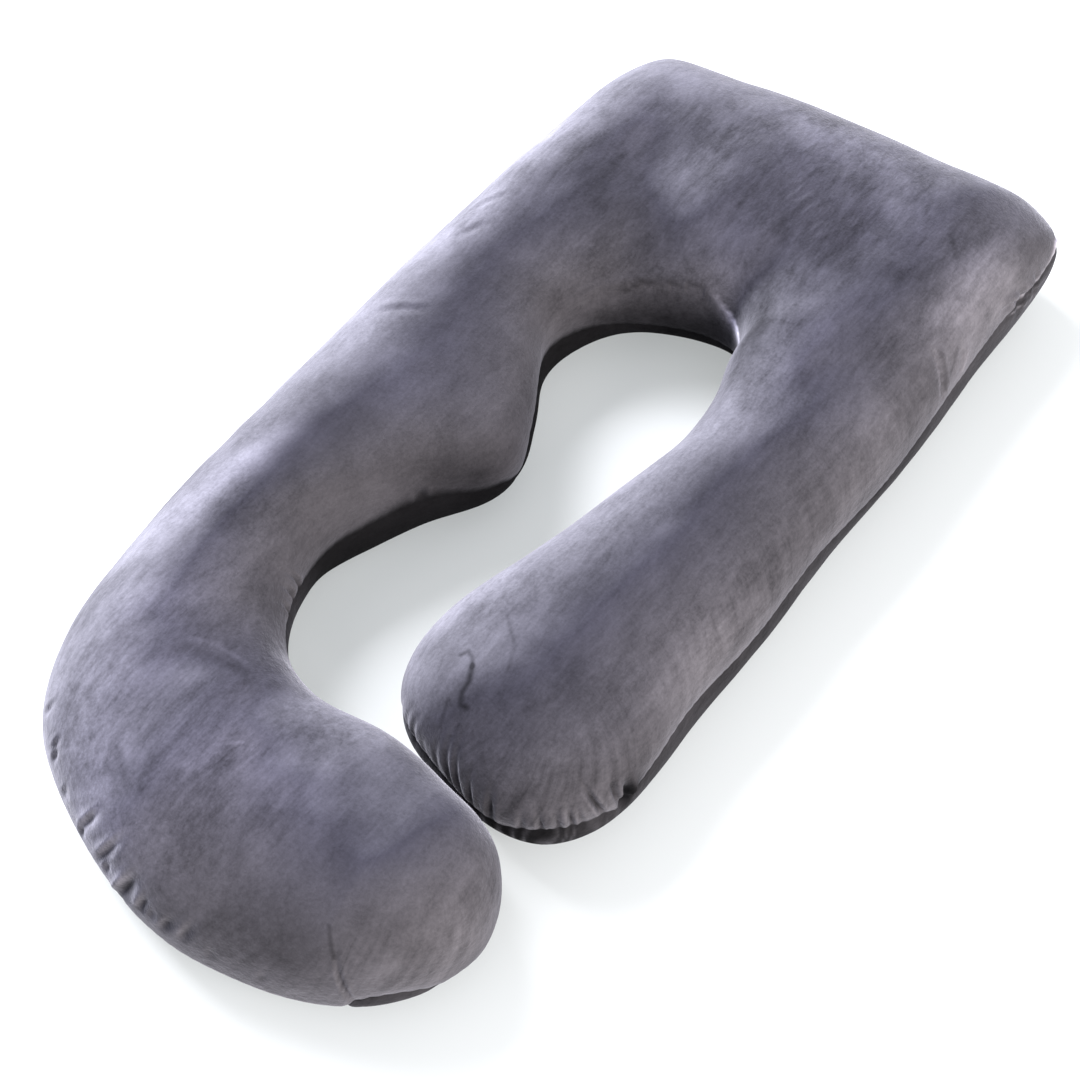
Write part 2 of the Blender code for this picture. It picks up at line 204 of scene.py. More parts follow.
def seam_columns():
    """Seam rows (x, y, height, over, under), spine points, crests and each column's spine number.

    The outer and inner column of a rib share the spine point half-way between them, and all the
    columns round an end share the last one."""
    outer = [(*section.outer, section.crest) for section in SECTIONS]
    inner = [(*section.inner, section.crest) for section in SECTIONS]
    arm_end = [(*seam, SECTIONS[-1].crest) for seam in ARM_END]
    foot_tip = [(*seam, SECTIONS[0].crest) for seam in FOOT_TIP]
    knots = np.array(outer + arm_end + inner[::-1] + foot_tip)
    steps = np.linalg.norm((np.roll(knots, -1, axis=0) - knots)[:, :2], axis=1)
    places = np.concatenate([[0.0], np.cumsum(steps)])
    side = len(SECTIONS) - 1
    pitch = np.full(len(knots), FINE_STEP)
    pitch[:side] = RIB_STEP
    pitch[list(GATHERED)] = FINE_STEP
    columns = np.maximum(np.ceil(steps / pitch).astype(int), 2)
    inner_start = side + 1 + len(ARM_END)
    columns[inner_start:inner_start + side] = columns[:side][::-1]
    wanted = np.concatenate([np.linspace(places[i], places[i + 1], share + 1)[:-1]
                             for i, share in enumerate(columns)])
    seam = closed_curve(places, knots, wanted)

    last = columns[:side].sum()
    arm_columns = columns[side:inner_start].sum() - 1
    foot_columns = columns[inner_start + side:].sum() - 1
    outer_side = seam[:last + 1]
    inner_side = seam[last + 1 + arm_columns:2 * last + 2 + arm_columns][::-1]
    middle = (outer_side + inner_side) / 2
    up = np.arange(last + 1)
    spine_number = np.concatenate([up, np.full(arm_columns, last), up[::-1],
                                   np.zeros(foot_columns, int)])
    return seam[:, :5], middle[:, :2], middle[:, 5], spine_number


seam, spine, spine_crest, spine_number = seam_columns()
seam_steps = np.linalg.norm(seam[:, :2] - np.roll(seam[:, :2], 1, axis=0), axis=1)
seam_run = np.cumsum(seam_steps)
print(len(seam), "columns,", round(seam_run[-1], 2), "m of seam")

# %% [markdown]
# ## The two panels
#
# From each seam point the upper panel climbs to the crest over the middle of the arm and the lower one
# turns under to the surface. A superellipse quarter does both: cos(t) to the power 2/n goes inwards and
# sin(t) to the power 2/n goes up. The weight of the filling presses the lower panel flat where it lies.

# %% The line round each cross-section, finely drawn
SURFACE_FLATTENING = 0.010   # how far the underside is pressed flat
UNDER_BULGE = 0.0015         # the lower panel swells this far past the widest line
FINE_OVER = 120              # fine steps from the widest line up to the crest
FINE_UNDER = 80              # and down to where the cloth touches the floor
FINE_CROWDING = 1.3          # above 1 the fine steps are closer together at the widest line


def quarter_arch(t, fullness):
    """Across and up shares of a superellipse quarter at angle t."""
    return np.cos(t) ** (2 / fullness), np.sin(t) ** (2 / fullness)


def profiles():
    """Fine points from the touch line over the widest line to the crest, shaped (columns, points, 3)."""
    own_spine = spine[spine_number][:, None]
    crest = spine_crest[spine_number][:, None]
    out = seam[:, None, :2] - own_spine
    height, over, under = (seam[:, None, k] for k in (2, 3, 4))
    deep = height + SURFACE_FLATTENING
    touch = np.arcsin((height / deep) ** (under / 2))
    shares_under = np.linspace(1, 0, FINE_UNDER + 1)[None, :-1] ** FINE_CROWDING
    across, drop = quarter_arch(touch * shares_under, under)
    swell = 1 + UNDER_BULGE * np.sin(math.pi * shares_under) / np.linalg.norm(out, axis=2)
    lower = np.dstack([own_spine + out * (across * swell)[:, :, None],
                       np.maximum(height - deep * drop, 0)[:, :, None]])
    shares_over = np.linspace(0, 1, FINE_OVER + 1)[None] ** FINE_CROWDING
    across, rise = quarter_arch(math.pi / 2 * shares_over, over)
    upper = np.dstack([own_spine + out * across[:, :, None],
                       (height + (crest - height) * rise)[:, :, None]])
    return np.concatenate([lower, upper], axis=1)


fine = profiles()
box_middle = (fine.reshape(-1, 3).min(axis=0) + fine.reshape(-1, 3).max(axis=0)) / 2
solid_middle = (np.array(solid_box[0]) + np.array(solid_box[1])) / 2
plan_shift = np.append((solid_middle - box_middle)[:2], 0.0)
fine = fine + plan_shift
seam[:, :2] += plan_shift[:2]
spine = spine + plan_shift[:2]
print("profiles", fine.shape, "moved by", plan_shift.round(4), "onto the solid's middle")

# %% [markdown]
# ## Where the stitches run
#
# The widest line is where the two panels would meet on a perfect pillow. The stitches wander some
# millimetres to either side of it. Under the hooked foot's tip, at the belly bump and in the arch the upper
# panel has rolled over, and they lie two or three centimetres lower. At the head's sharper corner they
# climb over the line. So each seam place has a drop: a length over the cloth from the widest line down to
# the stitches. Rings of points are then laid out by length from the stitches, close together there, where
# the cloth bends most, and far apart on the crown.

# %% The stitches' drop below the widest line
Drop = namedtuple("Drop", "x y length")

DROPS = [Drop(*row) for row in (
    # inner side of the hooked arm and the belly bump
    (-0.110, -0.322, 0.000), (-0.139, -0.252, 0.005), (-0.137, -0.195, 0.009), (-0.114, -0.148, -0.002),
    (-0.094, -0.114, -0.003), (-0.070, -0.080, 0.005), (-0.061, -0.044, 0.006), (-0.058, -0.023, 0.020),
    (-0.059, -0.008, 0.026), (-0.063, 0.007, 0.014), (-0.070, 0.026, 0.001),
    # plain arm's outer side, from the sharper corner to its end
    (0.230, 0.618, 0.000), (0.274, 0.600, -0.004), (0.290, 0.580, -0.022), (0.292, 0.554, -0.015),
    (0.291, 0.509, -0.007), (0.287, 0.463, -0.009), (0.285, 0.430, -0.003), (0.293, 0.368, 0.003),
    (0.292, 0.209, 0.004), (0.283, 0.114, 0.009), (0.280, 0.050, 0.006), (0.279, -0.019, 0.010),
    (0.275, -0.080, 0.014), (0.269, -0.150, 0.009), (0.272, -0.200, 0.000), (0.278, -0.250, 0.006),
    (0.272, -0.290, 0.008), (0.240, -0.345, 0.003), (0.211, -0.357, 0.006), (0.185, -0.365, 0.013),
    (0.142, -0.362, 0.010), (0.050, -0.320, 0.000),
    # inner side of the plain arm, and the arch
    (0.100, 0.139, 0.000), (0.084, 0.228, 0.018), (0.074, 0.257, 0.020), (0.049, 0.271, 0.015),
    (0.018, 0.268, 0.011), (-0.011, 0.257, 0.009), (-0.039, 0.243, 0.007), (-0.083, 0.205, 0.003),
    (-0.108, 0.150, 0.000),
    # hooked foot, from the arm round to the tip
    (-0.262, -0.480, 0.000), (-0.110, -0.610, 0.004), (-0.030, -0.630, 0.014), (0.060, -0.620, 0.020),
    (0.153, -0.572, 0.032), (0.164, -0.563, 0.030), (0.171, -0.558, 0.004), (0.181, -0.548, 0.001),
    (0.196, -0.533, 0.005), (0.206, -0.521, 0.012), (0.216, -0.503, 0.030), (0.244, -0.480, 0.034),
    (0.225, -0.420, 0.030), (0.170, -0.410, 0.012), (0.060, -0.400, 0.000),
)]
INSET = 0.020        # two seams meet where the foot touches the arm, so places are compared this far inside

inward = spine[spine_number] - seam[:, :2]
inset_line = seam[:, :2] + inward * (INSET / np.linalg.norm(inward, axis=1, keepdims=True))


def nearest_column(x, y):
    """The column whose point INSET inside the seam is nearest to (x, y)."""
    return np.argmin(np.hypot(inset_line[:, 0] - x, inset_line[:, 1] - y))


def along_from(x, y):
    """Signed length along the closed seam from the column nearest to (x, y)."""
    total = seam_run[-1]
    return (seam_run - seam_run[nearest_column(x, y)] + total / 2) % total - total / 2


def drop_lengths():
    """The drop of every column, straight-line between the table's places round the closed seam."""
    places = [seam_run[nearest_column(drop.x, drop.y)] for drop in DROPS]
    return np.interp(seam_run, places, [drop.length for drop in DROPS], period=seam_run[-1])


drops = drop_lengths()
print("the stitches lie", drops.min().round(3), "to", drops.max().round(3), "m below the widest line")

# %% Rings by length from the stitches
RINGS_OVER = 43
RINGS_UNDER = 18
RING_CROWDING = 1.6          # 1 spreads the rings evenly, more draws them to the seam
SEAM_RING = RINGS_UNDER


def rings_by_length(profile):
    """Every column's points at lengths ahead * q ** RING_CROWDING on both sides of the stitches.

    All columns are looked up in one go: each one's lengths are shifted by its own large step, which
    makes a single rising table of them all."""
    steps = np.linalg.norm(np.diff(profile, axis=1), axis=2)
    lengths = np.pad(np.cumsum(steps, axis=1), ((0, 0), (1, 0)))
    stitches = lengths[:, FINE_UNDER] - drops
    below = np.linspace(1, 0, RINGS_UNDER + 1)[None, :-1] ** RING_CROWDING * stitches[:, None]
    above = np.linspace(0, 1, RINGS_OVER + 1)[None] ** RING_CROWDING
    above = above * (lengths[:, -1] - stitches)[:, None]
    run = np.concatenate([-below, above], axis=1)
    step = 10 * np.arange(len(profile))[:, None]
    table = (lengths + step).ravel()
    wanted = np.clip(stitches[:, None] + run, 0, lengths[:, -1:])
    found = [np.interp((wanted + step).ravel(), table, profile[:, :, k].ravel()) for k in range(3)]
    return np.stack(found, axis=1).reshape(*run.shape, 3), run


points, run = rings_by_length(fine)
level = run - drops[:, None]           # length over the cloth from the widest line instead
crest_row = np.column_stack([spine, spine_crest])[spine_number][:, None]
print("grid", points.shape, "seam to crest", run[:, -1].min().round(3), "to", run[:, -1].max().round(3), "m")

# %% [markdown]
# ## Directions and soft steps
#
# The direction out of the cloth is the cross product of a step along the seam and a step across it. Two
# small functions shape nearly everything that follows: a smooth step and a bell curve. A bell along the
# seam, times a bell over the cloth, is a soft patch on the pillow at a place of its own.

# %% Outward directions, steps, bells and patches
Patch = namedtuple("Patch", "x y reach over width")   # seam place, reach along it, length over the cloth


def outward(grid):
    """Unit normals: the cross product of the central differences along and across the seam."""
    along = np.roll(grid, -1, axis=0) - np.roll(grid, 1, axis=0)
    across = np.gradient(grid, axis=1)
    normal = np.cross(along, across)
    normal /= np.maximum(np.linalg.norm(normal, axis=2, keepdims=True), 1e-12)
    out = grid[:, SEAM_RING, :2] - crest_row[:, 0, :2]
    turn = 1 if np.sum(normal[:, SEAM_RING, :2] * out) > 0 else -1
    normal = normal * turn
    normal[:, -1] = (0, 0, 1)
    return normal


def smooth_step(value, start, end):
    """0 below start, 1 above end and a smooth S between."""
    t = np.clip((value - start) / (end - start), 0, 1)
    return t * t * (3 - 2 * t)


def bell(value, width):
    """The bell curve exp(-(value / width) squared)."""
    return np.exp(-(value / width) ** 2)


def seam_stretch(place, reach):
    """A bell along the seam from the column nearest to place, as one column of the grid."""
    return bell(along_from(*place), reach)[:, None]


def soft_patch(lengths, patch):
    """A bell along the seam times one over the cloth, lengths being run (from the stitches) or level."""
    return seam_stretch((patch.x, patch.y), patch.reach) * bell(lengths - patch.over, patch.width)


print("normals point outwards:", bool((outward(points)[:, -1, 2] > 0).all()))

# %% [markdown]
# ## The seam pulled in
#
# The thread is the shortest way round, so it sits a little inside the two panels, and the cloth rolls
# over it from both sides. The wide part of that roll is in the solid too. The narrow part is the stitch
# line itself, a sharp valley a few millimetres wide. Where the foot's tip rests against the plain arm's
# end, the two press each other in a little.

# %% Seam valley
SEAM_PULL = 0.0022
SEAM_PULL_REACH = 0.010
STITCH_VALLEY = 0.0008
STITCH_VALLEY_WIDTH = 0.0016
TOUCH_ON_ARM = (0.120, -0.345)         # the foot and the plain arm's end press each other in here
TOUCH_ON_FOOT = (0.120, -0.390)
TOUCH_REACH = 0.080
TOUCH_HEIGHT = 0.030
TOUCH_PRESS = 0.0030
TOUCHING_FLOOR = 1e-5                  # points no higher than this lie on the floor


def draw_in(grid, amount):
    """Points moved by amount towards the middle of their column's filling."""
    core = np.concatenate([crest_row[:, :, :2], np.repeat(seam[:, None, 2:3], 1, axis=1)], axis=2)
    inward = core - grid
    inward /= np.linalg.norm(inward, axis=2, keepdims=True)
    return grid + inward * amount[:, :, None]


lying = points[:, :, 2] <= TOUCHING_FLOOR
pull = SEAM_PULL * bell(run, SEAM_PULL_REACH) + STITCH_VALLEY * bell(run, STITCH_VALLEY_WIDTH)
pressed = seam_stretch(TOUCH_ON_ARM, TOUCH_REACH) + seam_stretch(TOUCH_ON_FOOT, TOUCH_REACH)
pull = pull + TOUCH_PRESS * pressed * bell(level, TOUCH_HEIGHT)
points = draw_in(points, np.where(lying, 0, pull))
print("deepest pull", round(float(pull.max()) * 1000, 1), "mm")

# %% [markdown]
# ## Gathers
#
# Where the outline curves hard, the thread has gathered the panels up and the cloth puckers. Cloth
# simulation would pucker it too, but each time in other places, so each has a set place here. A pucker is
# measured along the seam and over the cloth, so it bends with the arm: how far up the panel it is deepest,
# how far it spreads, its half width and depth, how much it leans along the seam, and what share of it goes
# on below the seam. Round the plain arm's end the puckers are short and straight. Round the hooked foot
# they are long, thin and leaning, and each has a lip that stands up on one side only.

# %% Gathers table
Gather = namedtuple("Gather", "x y rise spread half_width depth lean below lip", defaults=(0,))

GATHERS = [Gather(*row) for row in (
    # outer side of the hooked foot, from the arm round to the tip
    (-0.212, -0.534, 0.058, 0.011, 0.0028, 0.0026, -0.39, 0.0, 1),
    (-0.183, -0.558, 0.060, 0.009, 0.0028, 0.0026, -0.28, 0.0, 1),
    (-0.177, -0.562, 0.051, 0.009, 0.0028, 0.0032, -0.28, 0.0, 1),
    (-0.148, -0.576, 0.040, 0.010, 0.0030, 0.0018, -0.40, 0.0, 1),
    (-0.115, -0.589, 0.030, 0.008, 0.0028, 0.0030, -0.30, 0.0, 1),
    (-0.106, -0.593, 0.056, 0.017, 0.0033, 0.0038, -0.45, 0.0, 1),
    (-0.074, -0.603, 0.056, 0.022, 0.0036, 0.0044, -0.45, 0.0, 1),
    (-0.070, -0.604, 0.036, 0.009, 0.0028, 0.0034, -0.38, 0.0, 1),
    (-0.045, -0.610, 0.036, 0.024, 0.0052, 0.0078, -0.40, 0.0, 1),
    (-0.021, -0.612, 0.041, 0.013, 0.0036, 0.0048, -0.32, 0.0, 1),
    (-0.010, -0.613, 0.038, 0.008, 0.0028, 0.0026, -0.35, 0.0, 1),
    (0.007, -0.612, 0.037, 0.012, 0.0034, 0.0044, -0.47, 0.0, 1),
    (0.027, -0.610, 0.044, 0.014, 0.0036, 0.0036, -0.37, 0.0, 1),
    (0.052, -0.605, 0.030, 0.010, 0.0036, 0.0016, -0.30, 0.0, 1),
    (0.105, -0.594, 0.028, 0.010, 0.0036, 0.0012, -0.30, 0.0, 1),
    (0.167, -0.560, 0.034, 0.034, 0.0022, 0.0034, 0.23, 0.6),
    # round the plain arm's end
    (0.049, -0.327, 0.014, 0.016, 0.0032, 0.0007, 0.0, 0.4),
    (0.066, -0.333, 0.012, 0.022, 0.0033, 0.0012, 0.0, 0.4),
    (0.080, -0.338, 0.012, 0.024, 0.0033, 0.0016, 0.0, 0.4),
    (0.096, -0.343, 0.010, 0.016, 0.0032, 0.0010, 0.1, 0.4),
    (0.112, -0.347, 0.018, 0.022, 0.0032, 0.0014, 0.2, 0.4),
    (0.126, -0.350, 0.022, 0.026, 0.0033, 0.0022, 0.3, 0.4),
    (0.138, -0.352, 0.024, 0.026, 0.0032, 0.0022, 0.3, 0.4),
    (0.154, -0.355, 0.012, 0.024, 0.0028, 0.0024, 0.1, 0.4),
    (0.176, -0.356, 0.010, 0.022, 0.0036, 0.0040, 0.0, 0.4),
    (0.205, -0.352, 0.004, 0.016, 0.0030, 0.0030, 0.0, 0.4),
    (0.224, -0.346, 0.004, 0.018, 0.0028, 0.0050, 0.1, 0.4),
    (0.238, -0.338, 0.006, 0.016, 0.0028, 0.0046, 0.1, 0.4),
    (0.247, -0.328, 0.008, 0.022, 0.0028, 0.0060, 0.1, 0.4),
    (0.252, -0.321, 0.012, 0.020, 0.0028, 0.0034, 0.2, 0.4),
    (0.262, -0.305, 0.018, 0.028, 0.0030, 0.0072, 0.3, 0.4),
    (0.271, -0.286, 0.014, 0.022, 0.0034, 0.0072, 0.1, 0.4),
    (0.256, -0.270, 0.002, 0.018, 0.0055, 0.0115, -0.1, 1.0),
    # inside of the hooked arm and the sharper corner
    (-0.126, -0.285, 0.010, 0.022, 0.0028, 0.0040, 0.1, 0.5),
    (-0.122, -0.300, 0.008, 0.022, 0.0028, 0.0045, 0.1, 0.5),
    (-0.115, -0.314, 0.006, 0.020, 0.0028, 0.0040, 0.1, 0.5),
    (0.302, 0.486, 0.010, 0.020, 0.0070, 0.0060, 0.0, 0.9),
    (0.303, 0.520, 0.010, 0.018, 0.0050, 0.0040, 0.0, 0.9),
    # folds on the plain arm below that corner, and a pucker under the bump
    (0.282, 0.320, 0.045, 0.032, 0.0050, 0.0030, -0.56, 0.0),
    (0.282, 0.355, 0.030, 0.020, 0.0050, 0.0022, -0.55, 0.0),
    (-0.109, -0.123, 0.014, 0.012, 0.0050, 0.0040, 0.0, 0.3),
)]
print(len(GATHERS), "gathers, each at its own place")

# %% [markdown]
# ## A gather as a depth
#
# Across, a gather is a bell-shaped trough between two low ridges, or between one ridge and a gentle slope
# if it has a lip. Up the panel it is a bell too. The thread holds the cloth, so most gathers are shallower
# right at the seam.

# %% Gathers as depth below the smooth cloth
RIDGE_SHARE = 0.35       # height of a gather's side ridges, as a share of its depth
RIDGE_DISTANCE = 1.9     # how far out they stand, in half widths
RIDGE_WIDTH = 0.8        # and how wide they are, in half widths
LIP_EXTRA = 0.2          # a lip stands this much higher than a ridge
GENTLE_SIDE = 1.5        # a lipped gather rises this much more slowly on the side without the lip
SEAM_HOLDS = 0.65        # the seam itself keeps its line: it takes this much less of the depth
SEAM_HOLDS_REACH = 0.008
SEAM_CROSSING = 0.004    # below the seam a gather weakens within this length


def gather_depth(gather):
    """Trough minus ridges across, times a bell up the panel; below the seam it weakens to a share."""
    across = along_from(gather.x, gather.y)[:, None] - gather.lean * (level - gather.rise)
    w = gather.half_width
    gentle = across * gather.lip < 0
    trough = bell(across, np.where(gentle, GENTLE_SIDE * w, w))
    ridges = bell(np.abs(across) - RIDGE_DISTANCE * w, RIDGE_WIDTH * w)
    ridges = ridges * np.where(gentle, 0, 1 + LIP_EXTRA * abs(gather.lip))
    up_panel = bell(level - gather.rise, gather.spread)
    held = 1 - (SEAM_HOLDS if gather.below < 1 else 0) * bell(run, SEAM_HOLDS_REACH)
    past_seam = gather.below + (1 - gather.below) * smooth_step(run, -SEAM_CROSSING, SEAM_CROSSING)
    return gather.depth * up_panel * past_seam * held * (trough - RIDGE_SHARE * ridges)


gathered = sum(gather_depth(gather) for gather in GATHERS)
print("gathers", round(float(gathered.max()) * 1000, 1), "mm deep at most")

# %% [markdown]
# ## The filling's soft unevenness
#
# Loose fibre never lies quite evenly, so the crowns swell and sink by a millimetre or two over a hand's
# breadth. Beside the seam the pitch of the stitches shows as a faint, quick ripple. Both are sums of sine
# waves in fixed directions, drawn once from a seeded generator, so they are the same on every run.

# %% Waves


def waves(grid, wavelength, count, seed):
    """Sum of count sine waves of about this wavelength in random directions, scaled to a spread of 1."""
    rng = np.random.default_rng(seed)
    directions = rng.normal(size=(count, 3))
    directions /= np.linalg.norm(directions, axis=1, keepdims=True)
    numbers = 2 * math.pi / (wavelength * rng.uniform(0.75, 1.5, count))
    phases = rng.uniform(0, 2 * math.pi, count)
    angle = grid.reshape(-1, 3) @ (directions * numbers[:, None]).T + phases
    return (np.sin(angle).sum(axis=1) / math.sqrt(count / 2)).reshape(grid.shape[:2])


LUMP_HEIGHT, LUMP_LENGTH, LUMP_SEED = 0.0008, 0.150, 3
DENT_HEIGHT, DENT_LENGTH, DENT_SEED = 0.0002, 0.055, 5
WAVE_COUNT = 28
RIPPLE_HEIGHT = 0.0003
RIPPLE_PITCH = 0.014
RIPPLE_REACH = 0.012         # the ripple fades this far from the seam
RIPPLE_DRIFT = 1.6           # by how many radians its beat wanders
HELD_TO, FREE_FROM = 0.012, 0.045      # the floor holds the cloth still up to the first height

free = smooth_step(points[:, :, 2], HELD_TO, FREE_FROM)
lumps = (LUMP_HEIGHT * waves(points, LUMP_LENGTH, WAVE_COUNT, LUMP_SEED)
         + DENT_HEIGHT * waves(points, DENT_LENGTH, WAVE_COUNT, DENT_SEED))
ripple_phase = 2 * math.pi * seam_run[:, None] / RIPPLE_PITCH + RIPPLE_DRIFT * waves(points, 0.060, 16, 7)
ripple = RIPPLE_HEIGHT * np.sin(ripple_phase) * bell(run, RIPPLE_REACH)
print("lumps up to", round(float(np.abs(lumps).max()) * 1000, 1), "mm")

# %% [markdown]
# ## Creases
#
# A few creases are long enough to see one by one: on the hooked arm's shoulder, across the head, below the
# head's sharper corner and along the arch. Each is a short line on the surface, given by its main points.
# Its depth falls off across as a bell and dies away towards both ends, and a soft fold stands up beside it.

# %% Creases table
Crease = namedtuple("Crease", "line half_width depth fold")

HEAD_LINE = ((-0.014, 0.460, 0.181), (0.054, 0.412, 0.180), (0.093, 0.380, 0.175), (0.140, 0.325, 0.163))
CREASES = (
    # hooked arm's shoulder and head
    Crease(((-0.262, 0.205, 0.155), (-0.252, 0.222, 0.162), (-0.236, 0.240, 0.170)), 0.0035, 0.0020, 0.5),
    Crease(((-0.247, 0.155, 0.163), (-0.228, 0.192, 0.171)), 0.0040, 0.0012, 0.5),
    Crease(((-0.256, 0.016, 0.161), (-0.230, 0.033, 0.171), (-0.203, 0.045, 0.175)), 0.0040, 0.0016, 0.9),
    Crease(HEAD_LINE, 0.0030, 0.0009, 0.6),
    # the sharper corner's lower side
    Crease(((0.293, 0.455, 0.115), (0.297, 0.489, 0.102), (0.301, 0.537, 0.090)), 0.0050, 0.0040, 0.8),
    Crease(((0.268, 0.332, 0.152), (0.283, 0.318, 0.134), (0.295, 0.319, 0.102)), 0.0050, 0.0024, 0.8),
    # arch
    Crease(((-0.105, 0.170, 0.112), (-0.086, 0.210, 0.121), (-0.045, 0.246, 0.126),
            (0.006, 0.268, 0.130), (0.050, 0.268, 0.118)), 0.0070, 0.0022, 1.0),
)
FOLD_DISTANCE = 1.8      # the fold stands this many half widths beside its crease


def crease_depth(grid, crease):
    """Bell of the distance from the crease's line, fading to its ends, less a fold on one side."""
    line = np.array(crease.line)
    pieces = np.linalg.norm(np.diff(line, axis=0), axis=1)
    starts = np.concatenate([[0], np.cumsum(pieces)])
    nearest = np.full(grid.shape[:2], np.inf)
    place = np.zeros(grid.shape[:2])
    side = np.zeros(grid.shape[:2])
    for a, b, length, start in zip(line[:-1], line[1:], pieces, starts):
        way = (b - a) / length
        t = np.clip((grid - a) @ way, 0, length)
        apart = grid - (a + t[:, :, None] * way)
        distance = np.linalg.norm(apart, axis=2)
        closer = distance < nearest
        nearest = np.where(closer, distance, nearest)
        place = np.where(closer, (start + t) / starts[-1], place)
        side = np.where(closer, np.cross(way, apart)[:, :, 2], side)
    ends = np.sqrt(np.clip(np.sin(math.pi * place), 0, 1))
    w = crease.half_width
    signed = np.sign(side) * nearest
    fold = crease.fold * bell(signed - FOLD_DISTANCE * w, w)
    return crease.depth * ends * (bell(nearest, w) - fold)


creased = sum(crease_depth(points, crease) for crease in CREASES)
print("creases", round(float(creased.max()) * 1000, 1), "mm deep at most")

# %% [markdown]
# ## All the pushes at once
#
# Everything so far is a depth or a height, so it is added up and each point moves once, along its own
# normal. The turned-in edge of the cloth stands out at the sharper corner, just over the stitches. No point
# may go through the floor, and those that lie on it stay where they are.

# %% The cloth pushed out and in
CORNER_LIP = 0.0026                    # how far the turned-in edge stands out at the sharper corner
CORNER_LIP_PATCH = Patch(0.288, 0.582, 0.026, 0.0045, 0.0038)
CLEARANCE = 0.0006                     # lowest height of a point that isn't lying on the floor

push = (lumps + ripple) * free + CORNER_LIP * soft_patch(run, CORNER_LIP_PATCH) - gathered - creased
push = np.where(lying, 0, push)
points = points + outward(points) * push[:, :, None]
points[:, :, 2] = np.where(lying, 0, np.maximum(points[:, :, 2], CLEARANCE))
print("pushed out by", round(push.max() * 1000, 1), "and in by", round(-push.min() * 1000, 1), "mm")

# %% [markdown]
# ## One closed mesh
#
# The grid becomes a mesh with quads between neighbouring columns and rings. Three kinds of point are
# shared: both sides of a rib meet on one crest point, every column of an end meets on one pole, and the
# flat underside closes onto the same spine seen from below.

# %% Mesh
columns, rings = points.shape[:2]
grid_rings = rings - 1                                   # the crest ring is shared, so it is kept apart
crest_points = np.zeros((len(spine), 3))
np.add.at(crest_points, spine_number, points[:, -1])
crest_points /= np.bincount(spine_number)[:, None]
base_points = np.column_stack([spine, np.zeros(len(spine))])
vertices = np.vstack([points[:, :-1].reshape(-1, 3), base_points, crest_points])

column = np.arange(columns)
after = (column + 1) % columns
first_base = columns * grid_rings
first_crest = first_base + len(spine)


def line_of(which):
    """Vertex numbers of whole columns, from the base point over the seam up to the crest."""
    middle = which[:, None] * grid_rings + np.arange(grid_rings)[None, :]
    return np.hstack([(first_base + spine_number[which])[:, None], middle,
                      (first_crest + spine_number[which])[:, None]])


def four_corners(a, b):
    """The four corners of every face between two lines of columns, (column, strip, corner)."""
    return np.stack([a[:, :-1], a[:, 1:], b[:, 1:], b[:, :-1]], axis=2)


quads = four_corners(line_of(column), line_of(after))
at_base = quads[:, 0, 0] == quads[:, 0, 3]               # the column meets its neighbour on one pole
at_crest = quads[:, -1, 1] == quads[:, -1, 2]
whole = np.ones(quads.shape[:2], dtype=bool)
whole[at_base, 0] = False
whole[at_crest, -1] = False


def faces_of(corners):
    """Corner values sorted by face: the whole quads, then the triangles at the two kinds of pole."""
    triangles = np.concatenate([corners[at_base, 0][:, [0, 1, 2]], corners[at_crest, -1][:, [0, 1, 3]]])
    return corners[whole], triangles


whole_quads, pole_triangles = faces_of(quads)
pillow_mesh = bpy.data.meshes.new("pillow")
pillow_mesh.from_pydata(vertices.tolist(), [], whole_quads.tolist() + pole_triangles.tolist())
pillow_mesh.shade_smooth()
pillow = show("pillow", pillow_mesh)
print(len(vertices), "points,", 2 * len(whole_quads) + len(pole_triangles), "triangles")

# %% [markdown]
# ## Cloth coordinates
#
# The soft flutes over the seam follow the cloth, not the room. So each corner of each face keeps two
# lengths: how far along the seam it is, and how far from the seam over the cloth.

# %% Two lengths over the cloth
BASE_STRIP = 0.020       # the flat underside's last strip, from the first ring in to the spine

along = np.repeat(seam_run[:, None], rings + 1, axis=1)
along_next = np.roll(along, -1, axis=0)
along_next[-1] += seam_run[-1]
run_line = np.hstack([run[:, :1] - BASE_STRIP, run])
lengths = np.stack([four_corners(along, along_next), four_corners(run_line, np.roll(run_line, -1, axis=0))],
                   axis=3)
corners = np.concatenate([part.reshape(-1, 2) for part in faces_of(lengths)])
cloth_lengths = pillow_mesh.uv_layers.new(name="cloth")
cloth_lengths.uv.foreach_set("vector", corners.astype(np.float32).ravel())
print("cloth coordinates on", len(corners), "corners")

# %% [markdown]
# ## What the velvet needs to know
#
# Five numbers are kept on every point of the mesh for the material. `under` is how deep in painted shade
# the pile is: near 1 on the lower panel, 0 on the open upper one, and between them in hollows.
# `painted_light_mark` makes edges and folds paler or darker as painted highlights and painted shade, and
# `brushed_and_lit` does so in soft ovals, partly marks where a hand has passed and partly painted light and
# shade. `fluted` says how strongly streaks climb from the seam, and `ruffle` how clearly the fine marks of
# the pile show. Painting them by hand would work too, but written as bells and soft steps they follow the
# seam and the cloth.

# %% Numbers kept on the points


def to_all(values):
    """A (column, ring) array as one value per vertex, the shared points taking their columns' mean."""
    count = np.bincount(spine_number)
    crest_values = np.bincount(spine_number, weights=values[:, -1]) / count
    base_values = np.bincount(spine_number, weights=values[:, 0]) / count
    return np.concatenate([values[:, :-1].ravel(), base_values, crest_values])


def keep(name, values):
    """Stores one float for each vertex on the pillow's mesh."""
    attribute = pillow_mesh.attributes.new(name, "FLOAT", "POINT")
    attribute.data.foreach_set("value", to_all(values).astype(np.float32))


height = points[:, :, 2]
print("the crest stands up to", round(float(height.max()), 3), "m high")
